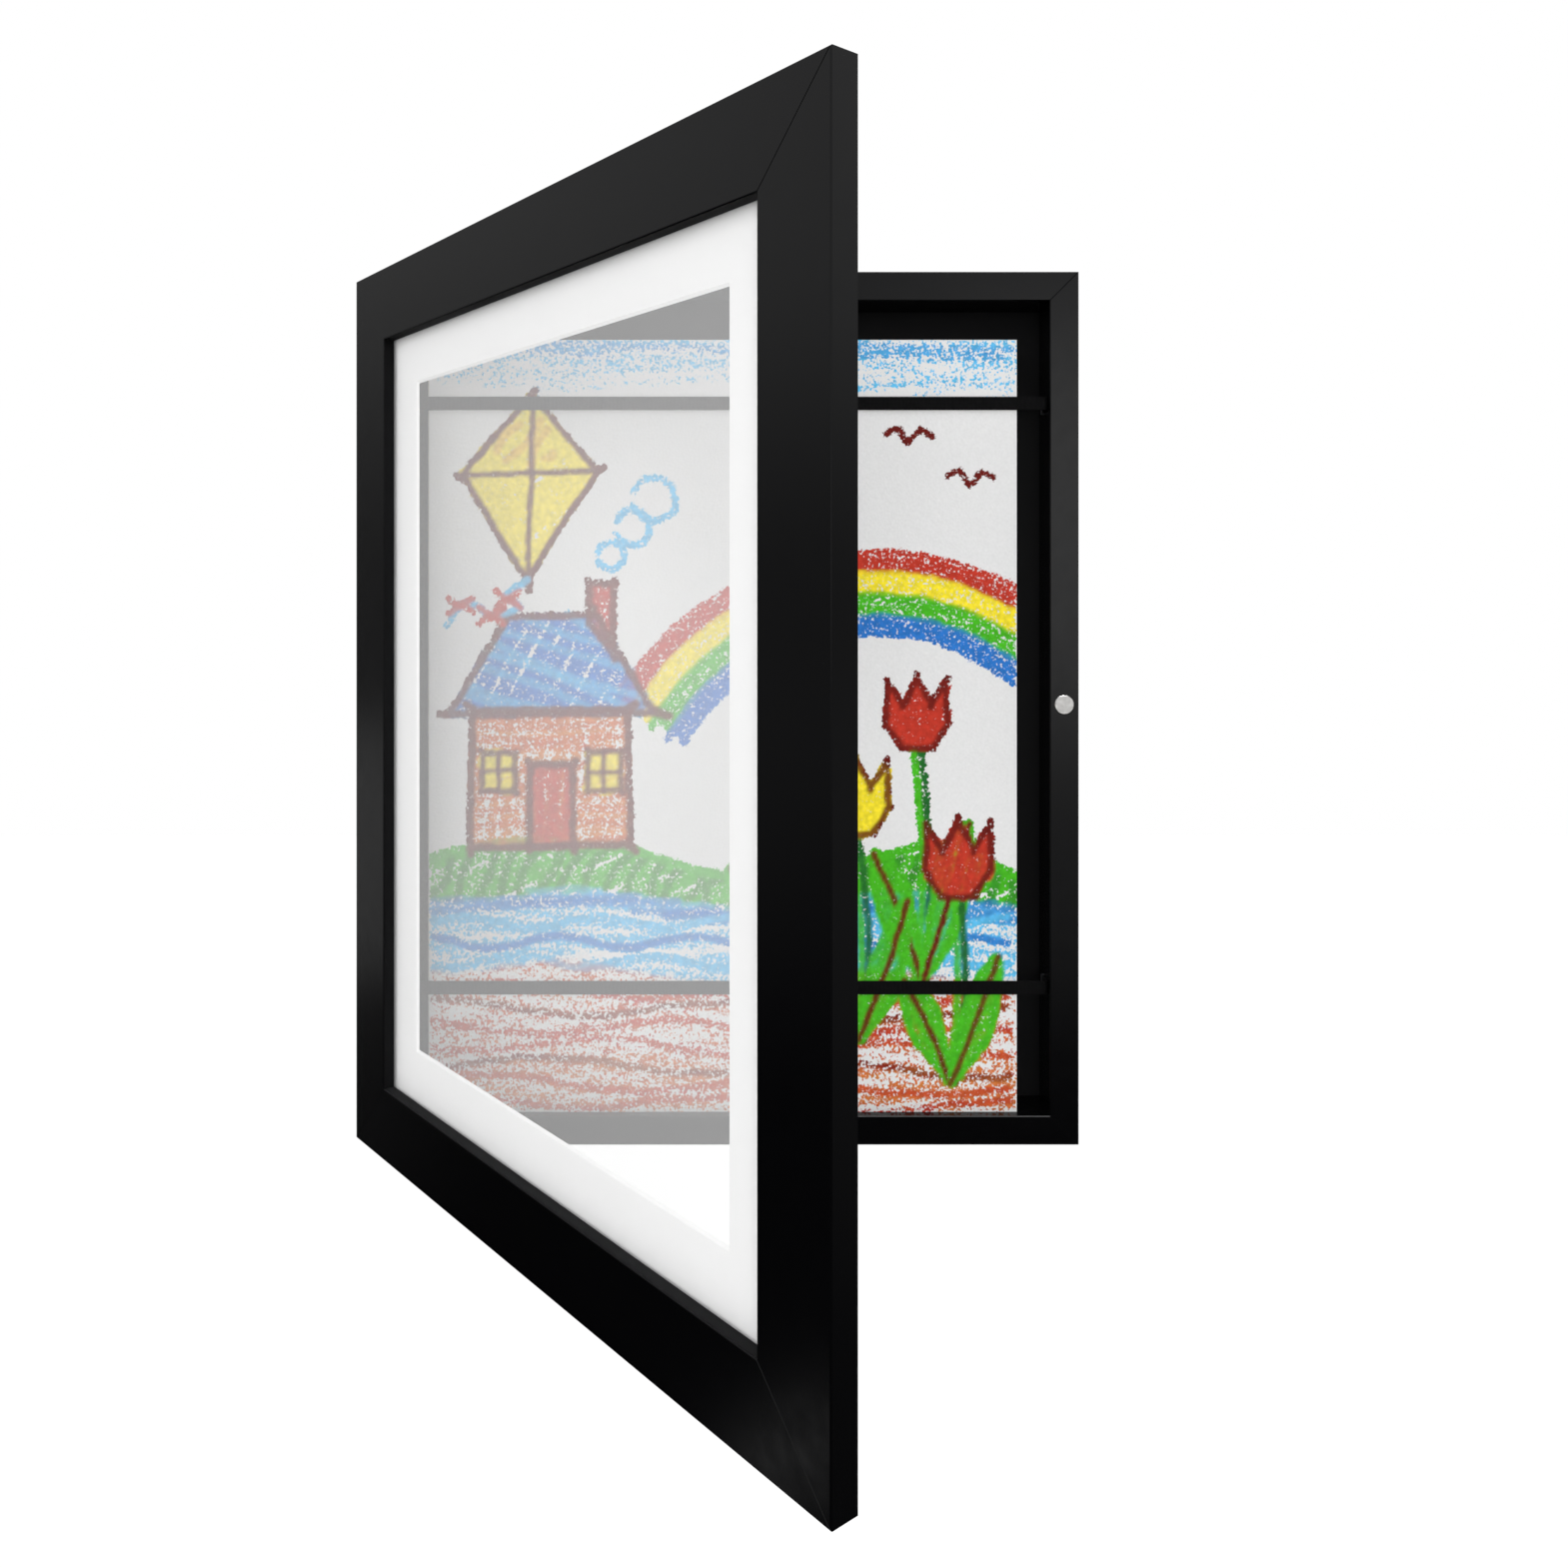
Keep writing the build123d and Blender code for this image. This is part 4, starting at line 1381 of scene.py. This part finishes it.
@dataclass(frozen=True)
class TentShade:
    """A change of the tent's light between two levels, by how far a direction leans towards one point."""

    towards: Triple
    start: float
    end: float
    low: float
    high: float
    ease: str = "SMOOTHSTEP"

    def light(self, tree: Tree, way: Socket) -> Node:
        """Gives the level along a direction.

        Args:
            tree: The world's node tree.
            way: The direction.

        Returns:
            The node that gives the level.
        """
        lean = add_node(tree, "ShaderNodeVectorMath", {0: way, 1: self.towards}, operation="DOT_PRODUCT")
        inputs = {"Value": lean, "From Min": self.start, "From Max": self.end}
        inputs |= {"To Min": self.low, "To Max": self.high}
        return add_node(tree, "ShaderNodeMapRange", inputs, interpolation_type=self.ease)


def soft_panel(azimuth: float, elevation: float, inner: float, outer: float, strength: float) -> TentShade:
    """Gives a round, soft-edged panel of light in the tent, its angles in degrees.

    Args:
        azimuth: Where its middle is, from straight in front of the frame, positive to the right.
        elevation: How high its middle is.
        inner: The angle from its middle at which it starts to fade.
        outer: The angle at which it is gone.
        strength: Its light.

    Returns:
        The panel as a shade of the tent.
    """
    turn, rise, full, gone = map(math.radians, (azimuth, elevation, inner, outer))
    middle = (math.sin(turn) * math.cos(rise), -math.cos(turn) * math.cos(rise), math.sin(rise))
    return TentShade(middle, math.cos(gone), math.cos(full), 0.0, strength)


@dataclass(frozen=True)
class SoftLamp:
    """A soft square lamp that faces the frame, left out of what gloss mirrors."""

    name: str
    place: Triple
    size: float
    watts: float

    def hang(self) -> None:
        """Adds the lamp to the scene."""
        deselect_all()
        way = (cad_low + cad_high) / 2 - Vector(self.place)
        turn = way.to_track_quat("-Z", "Y").to_euler()
        bpy.ops.object.light_add(type="AREA", location=self.place, rotation=turn)
        lamp = bpy.context.object
        lamp.name = self.name
        lamp.data.size = self.size
        lamp.data.energy = self.watts
        lamp.visible_glossy = False


@dataclass
class Studio:
    """A plain pale floor, soft lamps, a white background and the camera of the photograph."""

    camera_place: Triple = (0.02282, -0.556, -0.11761)
    focal_pixels: float = 1274.84
    horizon_pixels: float = 603.98
    sensor_mm: float = 36.0
    clip: Point = (0.01, 60.0)
    floor_height: float = -1.5
    floor_size: float = 14.0
    floor_colour: str = "#F2F2F2"
    floor_roughness: float = 0.9
    floor_gloss: float = 0.1
    floor_glow: float = 1.2
    glow_share: float = 0.75
    ambient: float = 0.57
    foot: TentShade = TentShade(UP, -0.34, -0.1, 0.0, 0.3, "LINEAR")
    roof: TentShade = TentShade(UP, 0.0, 0.3, 0.0, 0.7)
    front: TentShade = TentShade(BACK, -0.1, 0.5, 1.25, 0.28, "LINEAR")
    behind: TentShade = TentShade(BACK, 0.55, 0.8, 0.0, 1.0)
    panels: tuple[TentShade, ...] = (
        soft_panel(12, 3, 1, 12.5, 2.65),
        soft_panel(12, -12.5, 2, 6, 0.65),
        soft_panel(85, -14, 4, 14, 0.08),
        soft_panel(-118, -10.3, 4, 6.5, 0.29),
        soft_panel(-122, -19, 3, 9, 0.03),
        soft_panel(83, -20, 4, 14, 0.1),
        soft_panel(83, -35, 2, 5, 0.055),
        soft_panel(-99.5, -33.8, 0.3, 2.2, 1.1),
        soft_panel(10, 66, 7, 17, 24.0),
    )
    lamps: tuple[SoftLamp, ...] = (
        SoftLamp("key_lamp", (-1.3, -1.5, 0.8), 1.4, 12.6),
        SoftLamp("front_lamp", (0.03, -1.3, -0.1), 0.5, 3.3),
        SoftLamp("side_lamp", (1.6, -0.95, 0.2), 0.8, 6.0),
        SoftLamp("top_lamp", (0.1, -0.5, 1.5), 0.5, 6.0),
    )

    def camera(self) -> None:
        """Sets the camera, level and looking straight at the wall, with its lens shifted down."""
        deselect_all()
        bpy.ops.object.camera_add(location=self.camera_place, rotation=(math.pi / 2, 0, 0))
        camera = bpy.context.object
        camera.name = "photograph_camera"
        camera.data.sensor_width = self.sensor_mm
        camera.data.lens = self.focal_pixels / IMAGE_PIXELS * self.sensor_mm
        camera.data.shift_y = (self.horizon_pixels - IMAGE_PIXELS / 2) / IMAGE_PIXELS
        camera.data.clip_start, camera.data.clip_end = self.clip
        bpy.context.scene.camera = camera

    def tent(self, tree: Tree) -> Node:
        """Hangs the tent that gloss mirrors: dark at its foot, white at its back, with its panels.

        Args:
            tree: The world's node tree.

        Returns:
            The node that gives the strength.
        """
        way = add_node(tree, "ShaderNodeTexCoord").outputs["Generated"]
        shades = (self.foot, self.roof, self.front, self.behind)
        foot, roof, front, behind = (shade.light(tree, way) for shade in shades)
        rise = add_node(tree, "ShaderNodeMath", {0: foot, 1: roof}, operation="ADD")
        tent = add_node(tree, "ShaderNodeMath", {0: rise, 1: front}, operation="MULTIPLY")
        for panel in self.panels:
            tent = add_node(tree, "ShaderNodeMath", {0: tent, 1: panel.light(tree, way)}, operation="ADD")
        inputs = {"Factor": behind, VALUE_A: tent, VALUE_B: 1.0}
        return add_node(tree, "ShaderNodeMix", inputs, data_type="FLOAT")

    def world(self) -> None:
        """Makes the background white to the eye, the tent to gloss, and plain and even to all other light."""
        world = bpy.data.worlds.new("studio_tent")
        bpy.context.scene.world = world
        tree = empty_tree(world)
        rays = add_node(tree, "ShaderNodeLightPath").outputs
        inputs = {"Factor": rays["Is Glossy Ray"], VALUE_A: 1.0, VALUE_B: self.tent(tree)}
        backdrop = add_node(tree, "ShaderNodeMix", inputs, data_type="FLOAT")
        seen: Any = rays["Is Camera Ray"]
        for ray in ("Is Glossy Ray", "Is Transmission Ray"):
            seen = add_node(tree, "ShaderNodeMath", {0: seen, 1: rays[ray]}, operation="MAXIMUM")
        inputs = {"Factor": seen, VALUE_A: self.ambient, VALUE_B: backdrop}
        strength = add_node(tree, "ShaderNodeMix", inputs, data_type="FLOAT")
        light = add_node(tree, "ShaderNodeBackground", {"Color": WHITE, "Strength": strength})
        add_node(tree, "ShaderNodeOutputWorld", {"Surface": light})

    def floor(self) -> None:
        """Lays the pale floor well below the hanging frame; it shows white and keeps a soft shadow."""
        deselect_all()
        bpy.ops.mesh.primitive_plane_add(size=self.floor_size, location=(0, 0, self.floor_height))
        floor = bpy.context.object
        floor.name = "studio_floor"
        material = bpy.data.materials.new("pale_floor")
        tree = empty_tree(material)
        inputs = {"Base Color": linear(self.floor_colour), "Roughness": self.floor_roughness}
        inputs["Specular IOR Level"] = self.floor_gloss
        lit = add_node(tree, "ShaderNodeBsdfPrincipled", inputs)
        glow = add_node(tree, "ShaderNodeEmission", {"Color": WHITE, "Strength": self.floor_glow})
        seen = add_node(tree, "ShaderNodeLightPath").outputs["Is Camera Ray"]
        share = add_node(tree, "ShaderNodeMath", {0: seen, 1: self.glow_share}, operation="MULTIPLY")
        both = add_node(tree, "ShaderNodeMixShader", {0: share, 1: lit, 2: glow})
        add_node(tree, "ShaderNodeOutputMaterial", {"Surface": both})
        floor.data.materials.append(material)
        floor.visible_glossy = False

    def build(self) -> None:
        """Sets up the whole studio."""
        bpy.context.scene.view_settings.view_transform = "Standard"
        self.camera()
        self.world()
        self.floor()
        for lamp in self.lamps:
            lamp.hang()
        log.info("studio: camera, tent, floor and lamps")


def main() -> None:
    """Builds and dresses every sub-assembly in order, and reports the pieces."""
    logging.basicConfig(level=logging.INFO, format="%(name)s %(message)s")
    zinc = ZincPlate().material()
    Mouldings().dress()
    BackPanel().dress(zinc)
    lights = DoorLights()
    lights.dress(zinc)
    made = [lights.build_mat()]
    Ironmongery().dress(zinc)
    elastic = WovenElastic().material()
    for name in ("upper_elastic_band", "lower_elastic_band"):
        made.append(ElasticBand(name).build(elastic))
    made.append(StoredSheets().build(StackedPaper().material()))
    sheet = DrawingSheet()
    coat = sheet.bare_coat()
    CrayonDrawing(coat).draw()
    made.append(sheet.build(CrayonOnPaper().material(), coat))
    for piece in made:
        log.info("%s: %d faces", piece.name, len(piece.data.polygons))
    Studio().build()


if __name__ == "__main__":
    main()
